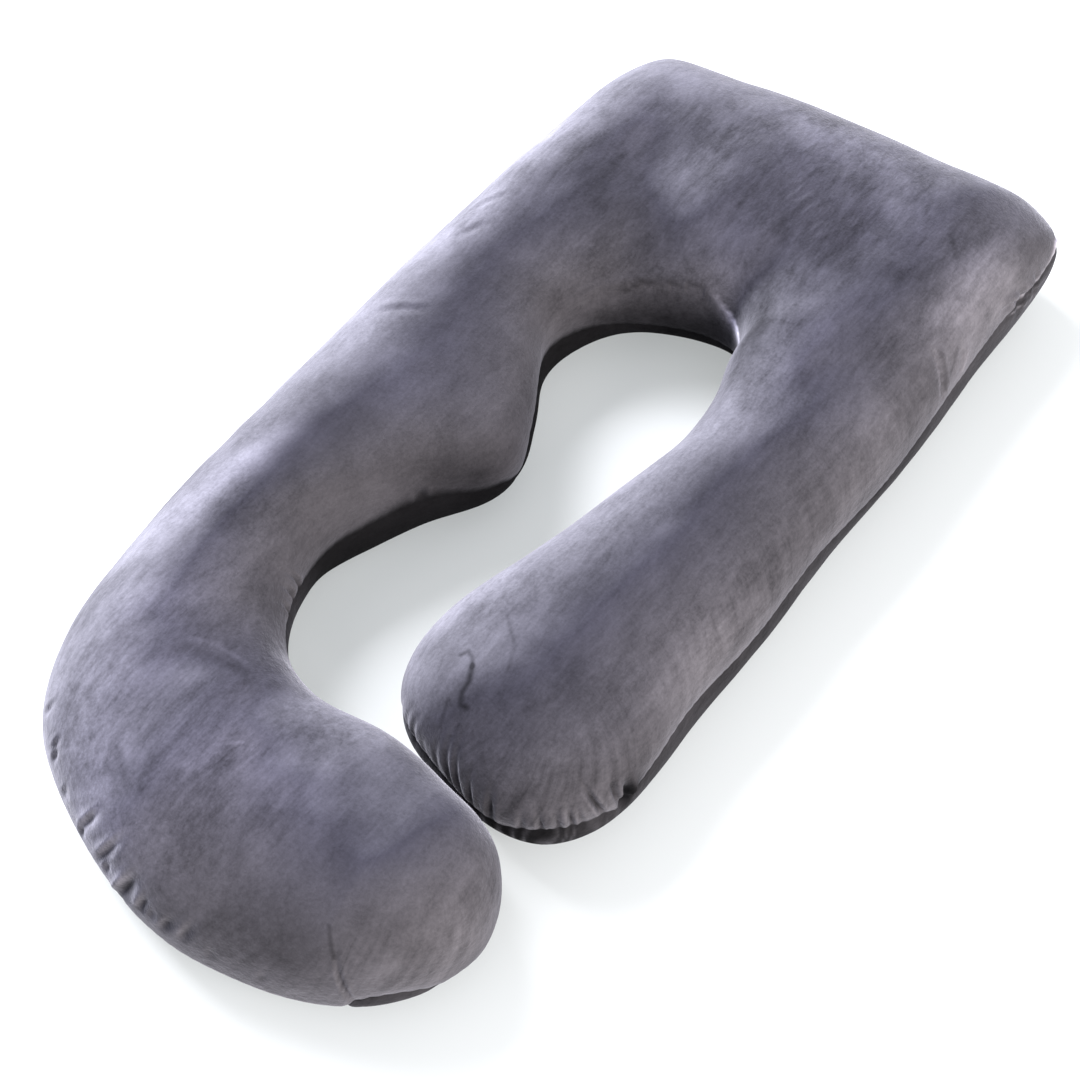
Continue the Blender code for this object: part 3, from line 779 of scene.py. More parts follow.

# %% [markdown]
# ## Brushed ovals and painted light
#
# Broad soft ovals make the cloth paler or darker. They are partly marks where a hand has turned the pile
# and partly painted light and painted shade, which set how brightly each stretch of cloth seems lit. Each
# is an oval seen from above, with its length, its width, its turn in the plan and how much paler (or
# darker, if negative) it is. The arch's right end has four of its own, painted light and shade only,
# which lie on the upper side only.

# %% Ovals
Oval = namedtuple("Oval", "x y length width turn shade")

ARCH_LIGHT_OVALS = [Oval(*row) for row in (
    # beside the arch's right end
    (0.103, 0.228, 0.200, 0.026, -1.10, -0.60), (0.156, 0.205, 0.170, 0.024, 1.57, 1.50),
    (0.030, 0.290, 0.060, 0.020, 0.30, 0.60), (0.088, 0.262, 0.060, 0.016, -1.10, -0.90),
)]
BRUSH_AND_LIGHT_OVALS = [Oval(*row) for row in (
    # hooked foot and arm
    (-0.155, -0.533, 0.120, 0.050, -0.90, 1.9), (-0.030, -0.500, 0.140, 0.060, 0.30, 2.4),
    (0.060, -0.480, 0.100, 0.050, 0.10, 1.0), (0.020, -0.400, 0.160, 0.030, 0.10, 0.7),
    (0.235, -0.480, 0.120, 0.030, 1.30, 0.5), (-0.170, -0.160, 0.110, 0.040, 1.40, -0.5),
    (-0.165, -0.050, 0.080, 0.045, 0.90, 0.7), (-0.082, -0.040, 0.080, 0.034, 1.20, -0.3),
    (-0.235, -0.470, 0.120, 0.025, -1.10, -0.6), (-0.166, -0.324, 0.110, 0.035, 1.40, 0.6),
    (-0.246, -0.291, 0.200, 0.028, 1.57, 0.5), (0.129, -0.577, 0.080, 0.030, 0.20, -0.3),
    (0.211, -0.433, 0.080, 0.035, 0.80, 0.5),
    (-0.226, -0.235, 0.130, 0.017, 1.50, 2.0), (-0.284, -0.300, 0.300, 0.018, 1.54, -1.1),
    (-0.178, -0.404, 0.100, 0.034, 1.20, 2.6), (-0.145, -0.465, 0.100, 0.035, 0.30, 1.1),
    (-0.247, 0.000, 0.090, 0.022, 1.57, 0.9),
    # head
    (0.014, 0.336, 0.080, 0.030, 0.50, 0.4),
    (-0.100, 0.300, 0.120, 0.045, 0.50, -0.5), (-0.060, 0.262, 0.110, 0.025, 0.35, -0.6),
    (0.094, 0.225, 0.050, 0.010, 1.45, -0.6), (0.103, 0.190, 0.120, 0.016, 1.50, -0.4),
    (0.050, 0.525, 0.200, 0.035, 0.00, 1.3), (-0.180, 0.520, 0.120, 0.040, 0.20, 0.5),
    (-0.239, 0.369, 0.160, 0.030, 1.40, 0.9), (-0.060, 0.375, 0.100, 0.045, 0.60, 0.25),
    (-0.185, 0.400, 0.180, 0.030, 1.45, 0.5),
    (0.155, 0.460, 0.120, 0.045, -0.60, 0.7), (-0.245, 0.190, 0.120, 0.030, 1.30, 1.1),
    # plain arm
    (0.266, 0.430, 0.180, 0.030, 1.57, 3.0), (0.205, 0.150, 0.120, 0.040, 1.40, 0.8),
    (0.270, 0.190, 0.140, 0.026, 1.57, 0.8), (0.104, 0.118, 0.120, 0.020, 1.40, -0.6),
    (0.258, -0.110, 0.200, 0.028, 1.50, 1.2), (0.050, -0.270, 0.090, 0.030, 1.20, -0.5),
)]
ARCH_LIGHT_FROM = (0.10, 0.13)            # heights between which the arch's ovals come in
BRUSH_AND_LIGHT_FROM = (0.05, 0.10)


def oval_shade(grid, painted_light_mark):
    """A shaded oval in plan: the product of a bell along the stroke and one across it."""
    x, y = grid[:, :, 0] - painted_light_mark.x, grid[:, :, 1] - painted_light_mark.y
    along = x * math.cos(painted_light_mark.turn) + y * math.sin(painted_light_mark.turn)
    across = -x * math.sin(painted_light_mark.turn) + y * math.cos(painted_light_mark.turn)
    return painted_light_mark.shade * bell(along, painted_light_mark.length / 2) * bell(across, painted_light_mark.width)


# painted light and shade in ovals, the brushing ones partly also marks in the pile
ovals = sum(oval_shade(points, painted_light_mark) for painted_light_mark in ARCH_LIGHT_OVALS) * smooth_step(height, *ARCH_LIGHT_FROM)
brushed_and_lit = sum(oval_shade(points, painted_light_mark) for painted_light_mark in BRUSH_AND_LIGHT_OVALS) * smooth_step(height, *BRUSH_AND_LIGHT_FROM)
keep("brushed_and_lit", brushed_and_lit)
print(len(ARCH_LIGHT_OVALS) + len(BRUSH_AND_LIGHT_OVALS), "ovals, shade", brushed_and_lit.min().round(1), "to", brushed_and_lit.max().round(1))

# %% [markdown]
# ## The lower panel
#
# The lower panel faces the floor and gets little light, so it is painted dark: painted shade, much darker
# than the upper one. It is darkest inside the loop and under the plain arm's end, where painted highlights
# streak it as pleats. At the belly bump the painted shade begins softly, everywhere else in a hard line at
# the stitches. From here on a place is x, y on the seam, and the lengths beside it are metres along the
# seam or over the cloth.

# %% Darkness below the stitches
# painted shade on the lower panel, lighter where painted highlights show pleats and under the sharper corner
OUTER_UNDER = 0.72                     # the lower panel's darkness outside the loop; inside it is 1
LOOP_SPAN = ((-0.125, -0.290), (0.086, 0.222))   # the loop's dark stretch, between these seam points
ARM_SIDE, ARM_SIDE_REACH = (0.260, -0.100), 0.120
# a little more painted shade on the plain arm's side
ARM_SIDE_MORE = 0.10                   # the plain arm's side is this much darker
PLEAT_PITCH = 0.016
PLEAT_SHADE = 0.50                     # how much of the darkness a pleat takes away
PLEAT_DRIFT = 1.8                      # by how many radians their beat wanders
CORNER_LIGHT = 0.40                    # and how much of it goes under the sharper corner
CORNER_LIGHT_START = (0.005, 0.016)    # lengths below the stitches between which that begins

loop_a, loop_b = (along_from(*place)[:, None] for place in LOOP_SPAN)
inside = smooth_step(-loop_a, -0.02, 0.06) * smooth_step(loop_b, -0.04, 0.02)
arm_end = seam_stretch((0.20, -0.35), 0.09)
corner_strip = seam_stretch((0.291, 0.520), 0.060)      # the strip under the sharper corner is lighter
bump_strip = seam_stretch((-0.105, -0.115), 0.050)

pleat_phase = 2 * math.pi * seam_run[:, None] / PLEAT_PITCH + PLEAT_DRIFT * waves(points, 0.050, 16, 11)
pleats = arm_end * (0.5 + 0.5 * np.sin(pleat_phase)) ** 3
darkness = OUTER_UNDER + (1 - OUTER_UNDER) * np.maximum(inside, arm_end)
darkness = darkness + ARM_SIDE_MORE * seam_stretch(ARM_SIDE, ARM_SIDE_REACH)
darkness = darkness * (1 - PLEAT_SHADE * pleats)
darkness = darkness * (1 - CORNER_LIGHT * corner_strip * smooth_step(-run, *CORNER_LIGHT_START))
soft_edge = 0.003 + 0.012 * inside + 0.003 * arm_end + 0.018 * bump_strip
lower_panel_shade = darkness * (1 - smooth_step(run, -0.0005, soft_edge))
print("lower panel's darkness", darkness.min().round(2), "to", darkness.max().round(2))

# %% [markdown]
# ## Shade in the narrow places
#
# Light hardly reaches the stitches where the cloth folds over them, the gathers' hollows, the notch where
# the plain arm's end meets its side, and the belly bump's underside. Two pleats cross the lower panel under
# the sharper corner, and catch the light.

# %% Stitches, hollows, notch and bump
# painted shade at the stitches, the notch, under the bump and in the gathers' hollows, and painted
# highlights on the cross folds
STITCH_SHADE = 0.95
TIP_STITCHES = Patch(0.180, -0.570, 0.100, -0.0012, 0.0018)
CORNER_STITCHES = Patch(0.291, 0.520, 0.060, -0.0030, 0.0034)
NOTCH = Patch(0.257, -0.263, 0.013, 0.0020, 0.0220)
HOLLOW_SHADE = 0.64                    # how dark the deepest gathers are
HOLLOW_DEPTHS = (0.0006, 0.0066)       # depths between which a gather darkens
BUMP_PLACE, BUMP_REACH = (-0.087, -0.086), 0.050
BUMP_SHADE = 0.48
BUMP_END = (0.035, 0.085)              # lengths over the cloth between which its shade fades
CROSS_FOLDS = ((0.287, 0.463, 1.0), (0.291, 0.497, 0.5))     # place on the seam, strength
CROSS_FOLD_LEAN = 2.5                  # metres along the seam for each metre over the cloth
CROSS_FOLD_WIDTH = 0.0050
CROSS_FOLD_LIGHT = 0.75                # how much of the darkness the folds take away
CROSS_FOLD_START, CROSS_FOLD_END = (0.000, 0.004), (0.020, 0.034)

stitch_lines = np.maximum(soft_patch(run, TIP_STITCHES), soft_patch(run, CORNER_STITCHES))
notch = soft_patch(level, NOTCH)
bump = seam_stretch(BUMP_PLACE, BUMP_REACH) * (1 - smooth_step(level, *BUMP_END))
hollows = smooth_step(gathered, *HOLLOW_DEPTHS)
cross_folds = sum(strength * bell(along_from(x, y)[:, None] - CROSS_FOLD_LEAN * run, CROSS_FOLD_WIDTH)
                  for x, y, strength in CROSS_FOLDS)
cross_folds = cross_folds * smooth_step(-run, *CROSS_FOLD_START) * (1 - smooth_step(-run, *CROSS_FOLD_END))
print("share of the points in a hollow", round(float((hollows > 0.5).mean()), 3))

# %% [markdown]
# ## The arch's wall and its ridge
#
# In the arch the upper panel stands steep over the seam, turned away from the window lamp, so the wall is
# painted dark up to a ridge: painted shade. The ridge rises from the arch's right end and sinks again to
# the left, so its length over the cloth is a short table by length along the seam. At the right end the
# ridge carries a painted highlight, a pale crescent, narrow above and wider below. Farther on, it is a line
# of painted shade with a faint painted highlight under it.

# %% Wall and ridge
ARCH_SPAN = ((-0.103, 0.128), (0.060, 0.268))    # the arch's wall, between these seam points
ARCH_MARGIN = 0.03
WALL_SHADE = 0.74
RIDGE_START = (0.074, 0.257)
RIDGE = ((0.000, 0.012), (0.015, 0.028), (0.033, 0.043), (0.059, 0.060), (0.080, 0.066), (0.120, 0.062),
         (0.137, 0.059), (0.154, 0.049), (0.171, 0.042), (0.205, 0.030))     # along, over
RIDGE_SHADE = 0.40
RIDGE_SHADE_OVER, RIDGE_SHADE_WIDTH = 0.0020, 0.0032
RIDGE_LINE_START, RIDGE_LINE_END = (0.060, 0.085), (0.165, 0.200)    # lengths past RIDGE_START
LIP_START, LIP_END = (-0.006, 0.010), (0.030, 0.068)
WALL_START = (0.060, 0.110)                      # lengths past the arch's left end
WALL_END = (0.0, 0.070)                          # lengths over the cloth between which it fades

arch_a, arch_b = (along_from(*place)[:, None] for place in ARCH_SPAN)
past_ends = np.abs(arch_a) + np.abs(arch_b) - np.abs(arch_a - arch_b)
in_arch = smooth_step(ARCH_MARGIN - past_ends, -ARCH_MARGIN, ARCH_MARGIN) * smooth_step(-arch_a, *WALL_START)
wall = in_arch * (1 - smooth_step(level, *WALL_END))

ridge_run = along_from(*RIDGE_START)[:, None]
over_ridge = level - np.interp(ridge_run, *zip(*RIDGE))
ridge_line = smooth_step(ridge_run, *RIDGE_LINE_START) * (1 - smooth_step(ridge_run, *RIDGE_LINE_END))
ridge_shade = RIDGE_SHADE * ridge_line * bell(over_ridge - RIDGE_SHADE_OVER, RIDGE_SHADE_WIDTH)
on_lip = smooth_step(ridge_run, *LIP_START) * (1 - smooth_step(ridge_run, *LIP_END))
below_ridge = 0.70 * bell(over_ridge, 0.0095) + 0.30 * bell(over_ridge, 0.0200)
crescent = on_lip * np.where(over_ridge > 0, bell(over_ridge, 0.0036), below_ridge)

# all painted shade: lower panel, stitches, notch, bump, hollows, wall and ridge, less the cross folds'
# painted highlight
under = np.maximum.reduce([
    lower_panel_shade, STITCH_SHADE * stitch_lines, notch, BUMP_SHADE * bump, HOLLOW_SHADE * hollows,
    WALL_SHADE * wall * (1 - crescent), ridge_shade])
under = under * (1 - CROSS_FOLD_LIGHT * cross_folds)
print("the wall is dark up to", round(float(level[wall > 0.5].max()), 3), "m over the widest line")

# %% [markdown]
# ## Edges that catch the light
#
# Where cloth is folded sharply it catches the light, and that is painted into the colour as painted
# highlights: on the turned-in edge at the sharper corner, on the arch's crescent, on the puffs between the
# foot's gathers and along the foot's outer rim. Each of these is added to `painted_light_mark`, and painted
# shade at the notch and the plain arm's underside is taken from it.

# %% Lit edges
CORNER_EDGES = (
    (Patch(0.297, 0.580, 0.030, 0.0036, 0.0030), 6.0),
    (Patch(0.299, 0.510, 0.035, 0.0036, 0.0030), 4.8),
    (Patch(0.286, 0.588, 0.022, 0.0050, 0.0050), 13.0),
)
FOOT_RIM = Patch(-0.085, -0.600, 0.065, 0.0700, 0.0550)
FOOT_PUFFS, FOOT_PUFFS_REACH = (-0.060, -0.606), 0.160
PUFF_HEIGHTS = (0.0002, 0.0014)                  # heights over the smooth cloth between which they light up
CRESCENT_SHINE = 16.0
CRESCENT_GROWS = (0.004, 0.026)                  # lengths past RIDGE_START between which it brightens
RIDGE_SHINE = 0.6
CROSS_FOLD_SHINE = 2.6
RIM_SHINE = 4.0
PUFF_SHINE, FOOT_PUFF_SHINE = 0.7, 1.2           # everywhere, and as much again at the foot
NOTCH_SHADE = 1.8
ARM_END_SHADE = 0.4

corner_edges = sum(shine * soft_patch(run, patch) for patch, shine in CORNER_EDGES)
crescent_glow = crescent * (0.15 + 0.85 * smooth_step(ridge_run, *CRESCENT_GROWS))
ridge_glow = ridge_line * bell(over_ridge + 0.0060, 0.0050)
puff_shine = PUFF_SHINE + FOOT_PUFF_SHINE * seam_stretch(FOOT_PUFFS, FOOT_PUFFS_REACH)
puffs = puff_shine * smooth_step(-gathered, *PUFF_HEIGHTS)
below_seam = 1 - smooth_step(run, -0.002, 0.002)

# painted highlights on edges, crescent, ridge, cross folds, foot rim and puffs, less painted shade at the
# notch and under the plain arm's end
painted_light_mark = (ovals + corner_edges + CRESCENT_SHINE * crescent_glow + RIDGE_SHINE * ridge_glow
          + CROSS_FOLD_SHINE * cross_folds + RIM_SHINE * soft_patch(level, FOOT_RIM) + puffs
          - NOTCH_SHADE * notch - ARM_END_SHADE * arm_end * below_seam)
print("crescent on", int((crescent > 0.5).sum()), "points, puffs on", int((puffs > 0.5).sum()))

# %% [markdown]
# ## Flutes and ruffled pile
#
# Streaks climb from the seam where the filling is packed hardest: along the plain arm's outer side, round
# its end and round the foot. The fine marks of the pile show most on the head and on the hooked foot's
# shoulder, and least on the hooked arm beside the bump and at the foot's tip.

# %% Flutes, ruffle, and all that is kept
FLUTED = ((0.282, 0.05, 0.45, 0.55), (0.22, -0.34, 0.12, 0.9),       # x, y, reach along the seam, share
          (-0.14, -0.59, 0.30, 0.5), (0.20, -0.56, 0.16, 0.8))
FLUTES_END = (0.05, 0.13)              # lengths over the cloth between which they fade
RUFFLE_ELSEWHERE = 0.75
RUFFLED = ((-0.15, -0.50, 0.14, 0.5), (-0.02, -0.49, 0.10, 0.3), (-0.02, 0.45, 0.16, 0.5),
           (0.12, 0.48, 0.14, 0.6), (0.16, 0.30, 0.10, 0.3), (0.05, -0.28, 0.08, 0.2),
           (-0.16, -0.10, 0.16, -0.3), (0.14, -0.50, 0.10, -0.3))    # x, y, reach in plan, share

fluted = np.clip(sum(share * seam_stretch((x, y), reach) for x, y, reach, share in FLUTED), 0, 1)
fluted = fluted * (1 - smooth_step(level, *FLUTES_END)) * (1 - inside)
ruffle = RUFFLE_ELSEWHERE + sum(share * bell(np.hypot(points[:, :, 0] - x, points[:, :, 1] - y), reach)
                                for x, y, reach, share in RUFFLED)
for name, values in (("fluted", fluted), ("ruffle", ruffle), ("under", under), ("painted_light_mark", painted_light_mark)):
    keep(name, values)
    print(name, "from", round(float(values.min()), 2), "to", round(float(values.max()), 2))

# %% [markdown]
# ## Velvet
#
# Velvet is a brush. Seen end on, light falls between the hairs and is lost, so the middle of each arm is
# deep; where the surface turns away, the hairs' sides catch the light. The sheen of the Principled shader
# does part of that. The colour also carries painted light: cloth that faces the window lamp's side is
# painted paler, and cloth that faces the fill lamp's side warmer, which the object's own normal can tell;
# this stands for the pile's lean as well. Over it lie clouds where the pile has been ruffled, marks along
# the cloth, and the grain of the hairs themselves, in colour and as a small bump. Real hairs, as a particle
# system, would be millions for this one piece, so the velvet is made of nodes. A few helpers keep the node
# work readable.

# %% Node helpers


def plug(tree, made, key, value):
    """Sets or links one input, by name or number: an output socket is linked, anything else is a value."""
    if isinstance(value, bpy.types.NodeSocket):
        tree.links.new(value, made.inputs[key])
    else:
        made.inputs[key].default_value = value


def node(tree, kind, **sockets):
    """A new node of this kind, with its named input sockets set to values or linked to outputs."""
    made = tree.nodes.new(kind)
    for name, value in sockets.items():
        plug(tree, made, name.replace("_", " "), value)
    return made


def maths(tree, operation, *terms, clamp=False):
    """The output of a Math node on one to three values or sockets."""
    made = tree.nodes.new("ShaderNodeMath")
    made.operation = operation
    made.use_clamp = clamp
    for number, term in enumerate(terms):
        plug(tree, made, number, term)
    return made.outputs[0]


def vector_maths(tree, operation, *terms, scale=None):
    """The output of a Vector Math node: a number for a dot product or a length, else a vector."""
    made = tree.nodes.new("ShaderNodeVectorMath")
    made.operation = operation
    for number, term in enumerate(terms):
        plug(tree, made, number, term)
    if scale is not None:
        plug(tree, made, "Scale", scale)
    return made.outputs["Value" if operation in ("DOT_PRODUCT", "LENGTH") else "Vector"]


def rescale(tree, value, start, end, low, high, soft=False):
    """Value rescaled from start..end to low..high and clamped, in a straight line or a soft S."""
    made = node(tree, "ShaderNodeMapRange", Value=value, From_Min=start, From_Max=end, To_Min=low,
                To_Max=high)
    if soft:
        made.interpolation_type = "SMOOTHSTEP"
    return made.outputs["Result"]


def blend_colours(tree, share, a, b):
    """The output colour of a Mix node."""
    made = tree.nodes.new("ShaderNodeMix")
    made.data_type = "RGBA"
    for number, value in ((0, share), (6, a), (7, b)):
        plug(tree, made, number, value)
    return made.outputs[2]


def attribute(tree, name):
    """The number kept on the mesh under this name."""
    made = tree.nodes.new("ShaderNodeAttribute")
    made.attribute_name = name
    return made.outputs["Fac"]


print("helpers ready")

# %% [markdown]
# ## Patterns in the pile
#
# All marks that have no place of their own are noise: clouds as wide as a hand, patches as wide as a thumb,
# slanted marks under a centimetre wide, and the hairs' grain. Noise mostly stays between 0.3 and 0.7, so
# that stretch is rescaled to how much paler or darker the pattern makes the pile. A stretch below 1 along
# an axis makes the marks longer that way, and the turn slants them.

# %% Noise patterns
Pattern = namedtuple("Pattern", "scale detail roughness stretch turn low high",
                     defaults=((1, 1, 1), 0.0, 0.0, 1.0))

CLOUDS = Pattern(10.0, 6, 0.58, low=-0.30, high=0.30)
PATCHES = Pattern(42.0, 5, 0.70, (1, 0.35, 1), 0.15, -0.22, 0.22)
SLANTED = Pattern(110.0, 4, 0.75, (1, 0.22, 1), -0.90, -0.20, 0.20)
GRAIN = Pattern(260.0, 3, 0.75, low=-0.15, high=0.15)
OVAL_MOTTLE = Pattern(24.0, 4, 0.60, (1, 0.60, 1), 0.30, 0.35, 0.65)   # how strong a brushed and painted-light oval is inside
STREAKS = Pattern(1.0, 3, 0.60, low=-0.34, high=0.34)
CRACKS = Pattern(40.0, 3, 0.60, (1, 0.80, 1), 0.60)
CRACKED = Pattern(6.0, 2, 0.50, low=-0.60, high=1.0)                  # where there are cracks at all
NAP_MARKS = Pattern(60.0, 3, 0.60, (1, 0.40, 1), 0.15)
NAP_GRAIN = Pattern(260.0, 4, 0.70)
CRUMPLES = Pattern(38.0, 4, 0.60, (1, 0.50, 1), 0.70)


def noise(tree, place, pattern):
    """Perlin noise from 0 to 1 on stretched and turned coordinates."""
    mapping = node(tree, "ShaderNodeMapping", Vector=place, Scale=pattern.stretch,
                   Rotation=(0, 0, pattern.turn))
    made = node(tree, "ShaderNodeTexNoise", Vector=mapping.outputs[0], Scale=pattern.scale,
                Detail=pattern.detail, Roughness=pattern.roughness)
    return made.outputs["Fac"]


def marks(tree, place, pattern):
    """The pattern's noise rescaled from 0.3..0.7 to its low..high."""
    return rescale(tree, noise(tree, place, pattern), 0.3, 0.7, pattern.low, pattern.high)


def flutes(tree):
    """Streaks that climb from the seam, leaning along it, as strong as the mesh's fluted attribute."""
    lengths = tree.nodes.new("ShaderNodeUVMap")
    lengths.uv_map = "cloth"
    split = node(tree, "ShaderNodeSeparateXYZ", Vector=lengths.outputs["UV"])
    lean = maths(tree, "MULTIPLY_ADD", split.outputs["Y"], 0.5, split.outputs["X"])
    place = node(tree, "ShaderNodeCombineXYZ", X=maths(tree, "MULTIPLY", lean, 75.0),
                 Y=maths(tree, "MULTIPLY", split.outputs["Y"], 12.0))
    return maths(tree, "MULTIPLY", marks(tree, place.outputs["Vector"], STREAKS), attribute(tree, "fluted"))


def cracks(tree, place):
    """Thin dark lines where a noise crosses its middle value: -0.16 * (1 - 16 |noise - 0.5|) * where."""
    line = maths(tree, "ABSOLUTE", maths(tree, "SUBTRACT", noise(tree, place, CRACKS), 0.5))
    line = maths(tree, "MULTIPLY_ADD", line, -16.0, 1.0, clamp=True)
    where = maths(tree, "MULTIPLY", marks(tree, place, CRACKED), 0.16, clamp=True)
    return maths(tree, "MULTIPLY", maths(tree, "MULTIPLY", line, where), -1.0)


print("broad to fine:", [pattern.scale for pattern in (CLOUDS, PATCHES, SLANTED, GRAIN)], "waves a metre")

# %% [markdown]
# ## Thin marks
#
# Thin pale and dark lines lie each at its own place. The pale and dark pairs are a painted highlight and
# painted shade on the two sides of a small fold, the long head line lies as painted shade along a crease,
# and the rest are thin marks. A painted texture could hold them, but a line is only a few points: each spot
# of the cloth asks how far it is from the line, and is shaded if that is less than the line's half width.

# %% Thin marks
Line = namedtuple("Line", "points half_width shade")

LINES = (
    # plain arm's end: a hooked mark, and a long faint one
    Line(((0.099, -0.280, 0.167), (0.106, -0.295, 0.166), (0.106, -0.306, 0.163), (0.112, -0.317, 0.160),
          (0.118, -0.316, 0.160)), 0.0058, -0.65),
    Line(((0.081, -0.274, 0.163), (0.085, -0.268, 0.165), (0.093, -0.272, 0.167),
          (0.099, -0.280, 0.167)), 0.0042, -0.45),
    Line(((0.056, -0.177, 0.148), (0.104, -0.226, 0.171), (0.121, -0.241, 0.174),
          (0.131, -0.267, 0.174)), 0.0040, -0.24),
    Line(((0.098, -0.318, 0.156), (0.104, -0.339, 0.141)), 0.0040, -0.35),
    # head: painted shade along the long crease, and two short thin lines
    Line(HEAD_LINE, 0.0030, -0.40),
    Line(((0.053, 0.549, 0.167), (0.079, 0.506, 0.176)), 0.0030, -0.35),
    Line(((0.210, 0.467, 0.178), (0.230, 0.444, 0.176)), 0.0070, -0.40),
    # plain arm below the sharper corner: two folds, each with a painted highlight on one side and painted
    # shade on the other
    Line(((0.269, 0.331, 0.151), (0.281, 0.322, 0.135), (0.293, 0.313, 0.115)), 0.0050, 0.60),
    Line(((0.276, 0.337, 0.147), (0.294, 0.326, 0.110)), 0.0060, -0.45),
    Line(((0.290, 0.382, 0.119), (0.295, 0.369, 0.100)), 0.0045, 0.50),
    Line(((0.284, 0.363, 0.135), (0.290, 0.341, 0.120)), 0.0060, -0.40),
    # hooked foot: two short dark marks, a pale fleck and a crease, the crease drawn as painted shade
    Line(((-0.110, -0.542, 0.177), (-0.097, -0.553, 0.175), (-0.077, -0.567, 0.171)), 0.0075, -0.36),
    Line(((-0.113, -0.557, 0.169), (-0.098, -0.562, 0.169), (-0.085, -0.574, 0.165)), 0.0070, -0.40),
    Line(((-0.131, -0.418, 0.184), (-0.107, -0.406, 0.178), (-0.078, -0.402, 0.171)), 0.0060, 0.40),
    Line(((-0.123, -0.427, 0.185), (-0.071, -0.412, 0.175)), 0.0110, -0.28),
    Line(((-0.027, -0.482, 0.187), (-0.018, -0.473, 0.185)), 0.0034, 0.70),
    Line(((-0.033, -0.476, 0.187), (-0.022, -0.464, 0.186)), 0.0040, -0.35),
    Line(((0.147, -0.556, 0.153), (0.154, -0.564, 0.141), (0.161, -0.571, 0.127)), 0.0040, -0.40),
)


def segment_distance(tree, place, a, b):
    """Distance to the stretch from a to b: |(place - a) - t (b - a)|, t being the clamped share along it."""
    a, way = np.array(a), np.array(b) - np.array(a)
    apart = vector_maths(tree, "SUBTRACT", place, tuple(a))
    share = vector_maths(tree, "DOT_PRODUCT", apart, tuple(way / (way @ way)))
    share = maths(tree, "MULTIPLY", share, 1.0, clamp=True)
    beside = vector_maths(tree, "SUBTRACT", apart, vector_maths(tree, "SCALE", tuple(way), scale=share))
    return vector_maths(tree, "LENGTH", beside)


def line_shade(tree, place):
    """Sum over the lines of shade * smooth step from the line's half width down to its middle."""
    total = 0.0
    for line in LINES:
        distance = 1.0
        for a, b in zip(line.points[:-1], line.points[1:]):
            distance = maths(tree, "MINIMUM", segment_distance(tree, place, a, b), distance)
        shade = rescale(tree, distance, line.half_width, 0.0, 0.0, line.shade, soft=True)
        total = maths(tree, "ADD", shade, total)
    return total


print(len(LINES), "thin marks")

# %% [markdown]
# ## The velvet put together
#
# The colour is a blend from deep to pale by painted light from the window lamp's side, which also stands
# for the pile's lean, times the ruffled pile, times the marked pile with its painted light and shade, and
# darker where `under` puts painted shade. The bump is the nap: fine marks and grain, with crumples where
# the pile is ruffled. Dark cloth has little sheen left, because no light gets in.

# %% Velvet material
LEAN_AND_LIGHT = (-0.95, 0.30, 0.0)             # painted light from the window lamp's side, standing also for the pile's lean: paler where cloth faces this way
LEAN_AND_LIGHT_START = 0.02                          # how pale it is where it faces straight up
# painted warm light where the cloth faces the fill lamp's side
FAR_SIDE = (0.95, -0.30, 0.0)              # and a little paler, and warmer, where it faces that way
FAR_GAIN = 0.9
DEEP_COLOUR = (0.024, 0.023, 0.032, 1)
PALE_COLOUR = (0.215, 0.210, 0.250, 1)
WARM_COLOUR = (0.080, 0.073, 0.078, 1)
# painted shade leaves this much of the colour where it is full
UNDER_SHADE = 0.15                         # what is left of the colour in full shade
LIGHT_MARK_STRENGTH = 0.45
DARKEST_RUFFLE, DARKEST_MARK = 0.15, 0.25
NAP_HEIGHT = 0.0014
NAP_STRENGTH = 0.50
CRUMPLE_HEIGHT = 7.0
SHEEN = 0.30
FINISH = (("Roughness", 1.0), ("Specular IOR Level", 0.05), ("Sheen Roughness", 0.36),
          ("Sheen Tint", (0.92, 0.90, 1.0, 1)))


def facing_share(tree, normal, direction, gain, start):
    """How far the surface faces a direction: gain * (normal . direction) + start, clamped to 0..1."""
    return maths(tree, "MULTIPLY_ADD", vector_maths(tree, "DOT_PRODUCT", normal, direction), gain, start,
                 clamp=True)


def lean_and_light_colour(tree, normal):
    """Painted light: deep to pale by how far the cloth faces the window lamp's side, standing also for the
    pile's lean, then to warm painted light on the far side.
    """
    lit_and_leaning = facing_share(tree, normal, LEAN_AND_LIGHT, 1.0, LEAN_AND_LIGHT_START)
    far = facing_share(tree, normal, FAR_SIDE, FAR_GAIN, 0.0)
    return blend_colours(tree, far, blend_colours(tree, lit_and_leaning, DEEP_COLOUR, PALE_COLOUR), WARM_COLOUR)


def ruffled_pile(tree, place, ruffle):
    """1 + clouds + ruffle * (patches + slanted marks + cracks) + grain + flutes, never quite dark."""
    fine_marks = maths(tree, "ADD", marks(tree, place, PATCHES), marks(tree, place, SLANTED))
    fine_marks = maths(tree, "ADD", fine_marks, cracks(tree, place))
    total = maths(tree, "ADD", marks(tree, place, CLOUDS), 1.0)
    for pattern in (maths(tree, "MULTIPLY", fine_marks, ruffle), marks(tree, place, GRAIN), flutes(tree)):
        total = maths(tree, "ADD", total, pattern)
    return maths(tree, "MAXIMUM", total, DARKEST_RUFFLE)


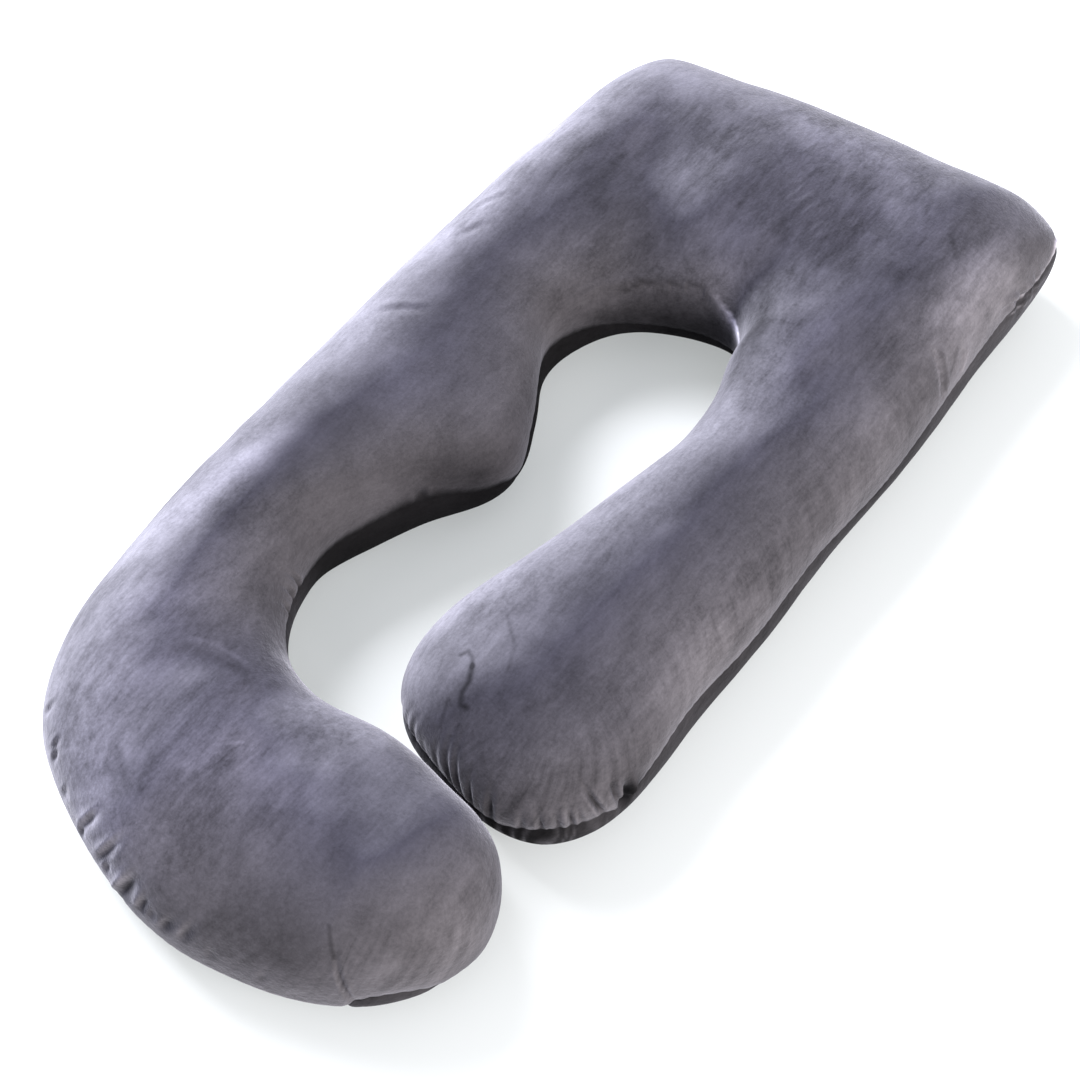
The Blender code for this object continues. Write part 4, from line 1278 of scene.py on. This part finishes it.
def marked_pile(tree, place):
    """1 + painted highlights and shade on edges + brushed and painted-light ovals + thin lines, never quite
    dark.
    """
    edges = maths(tree, "MULTIPLY", attribute(tree, "painted_light_mark"), LIGHT_MARK_STRENGTH)
    ovals = maths(tree, "MULTIPLY", attribute(tree, "brushed_and_lit"), marks(tree, place, OVAL_MOTTLE))
    total = maths(tree, "ADD", maths(tree, "ADD", edges, ovals), line_shade(tree, place))
    return maths(tree, "MAXIMUM", maths(tree, "ADD", total, 1.0), DARKEST_MARK)


def nap(tree, place, ruffle):
    """Height of the pile: 2 * marks + grain + crumples * (ruffle - 0.5), crumples being |noise - 0.5|."""
    height = maths(tree, "MULTIPLY_ADD", noise(tree, place, NAP_MARKS), 2.0, noise(tree, place, NAP_GRAIN))
    crumple = maths(tree, "ABSOLUTE", maths(tree, "SUBTRACT", noise(tree, place, CRUMPLES), 0.5))
    crumple = maths(tree, "MULTIPLY", maths(tree, "MULTIPLY", crumple, CRUMPLE_HEIGHT),
                    maths(tree, "SUBTRACT", ruffle, 0.5))
    return maths(tree, "ADD", height, crumple)


def velvet():
    """Short-pile velvet on object and cloth coordinates, with the mesh's five attributes."""
    material = bpy.data.materials.new("grey_velvet")
    material.use_nodes = True
    tree = material.node_tree
    shader = tree.nodes["Principled BSDF"]
    coordinates = tree.nodes.new("ShaderNodeTexCoord")
    place = coordinates.outputs["Object"]
    ruffle, painted_shade = attribute(tree, "ruffle"), attribute(tree, "under")

    pile = maths(tree, "MULTIPLY", ruffled_pile(tree, place, ruffle), marked_pile(tree, place))
    colour = vector_maths(tree, "SCALE", lean_and_light_colour(tree, coordinates.outputs["Normal"]), scale=pile)
    shaded = vector_maths(tree, "SCALE", colour, scale=UNDER_SHADE)
    bump = node(tree, "ShaderNodeBump", Strength=NAP_STRENGTH, Distance=NAP_HEIGHT,
                Height=nap(tree, place, ruffle))
    plug(tree, shader, "Base Color", blend_colours(tree, painted_shade, colour, shaded))
    plug(tree, shader, "Normal", bump.outputs[0])
    plug(tree, shader, "Sheen Weight", maths(tree, "MULTIPLY_ADD", painted_shade, -SHEEN, SHEEN))
    for name, value in FINISH:
        shader.inputs[name].default_value = value
    return material


pillow_mesh.materials.append(velvet())
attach(pillow, "root")
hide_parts("filled_pillow")
print("velvet on", pillow.name, "of", len(pillow_mesh.materials[0].node_tree.nodes), "nodes")

# %% [markdown]
# ## The floor
#
# The pillow lies on a plain, very pale floor. A white floor under such lights would still come out grey, so
# it glows a little from itself as well. It lies half a millimetre low, so that the cloth's flat underside
# and the floor are never the same surface.

# %% Floor
FLOOR_HALF = 30.0
FLOOR_DROP = 0.0005
FLOOR_FINISH = (("Base Color", (0.36, 0.365, 0.37, 1)), ("Emission Color", (0.96, 1.0, 1.0, 1)),
                ("Emission Strength", 0.38), ("Roughness", 0.9), ("Specular IOR Level", 0.1))

floor_mesh = bpy.data.meshes.new("floor")
floor_mesh.from_pydata([(x * FLOOR_HALF, y * FLOOR_HALF, -FLOOR_DROP)
                        for x, y in ((-1, -1), (1, -1), (1, 1), (-1, 1))], [], [(0, 1, 2, 3)])
floor = show("floor", floor_mesh)
floor_material = bpy.data.materials.new("pale_floor")
floor_material.use_nodes = True
for name, value in FLOOR_FINISH:
    floor_material.node_tree.nodes["Principled BSDF"].inputs[name].default_value = value
floor_mesh.materials.append(floor_material)
print("floor", 2 * FLOOR_HALF, "m across")

# %% [markdown]
# ## The lights
#
# A cool window-like area light stands on the hooked arm's side, high up, and makes the far edges glow. A
# weaker, warmer one on the plain arm's side keeps the near sides open. The world fills the rest evenly.

# %% Lights
Lamp = namedtuple("Lamp", "name place aim size watts colour")

LAMPS = (
    Lamp("window", (-2.9, 0.6, 3.2), (0, 0, 0.1), 2.4, 600, (0.95, 0.96, 1.0)),
    Lamp("fill", (3.0, -0.6, 1.7), (0, 0, 0.1), 1.8, 120, (1.0, 0.96, 0.93)),
)
WORLD_COLOUR = (0.95, 0.97, 1.0, 1)
WORLD_STRENGTH = 1.30


def make_lamp(lamp):
    """A square area light at its place, turned to face its aim."""
    data = bpy.data.lights.new(lamp.name, "AREA")
    data.size = lamp.size
    data.energy = lamp.watts
    data.color = lamp.colour
    made = show(lamp.name, data)
    made.location = lamp.place
    away = made.location - type(made.location)(lamp.aim)
    made.rotation_euler = away.to_track_quat("Z", "Y").to_euler()


for lamp in LAMPS:
    make_lamp(lamp)

world = bpy.data.worlds.new("soft_room")
world.use_nodes = True
background = world.node_tree.nodes["Background"]
background.inputs["Color"].default_value = WORLD_COLOUR
background.inputs["Strength"].default_value = WORLD_STRENGTH
bpy.context.scene.world = world
bpy.context.scene.view_settings.view_transform = "Standard"
print(len(LAMPS), "lamps and a soft world")
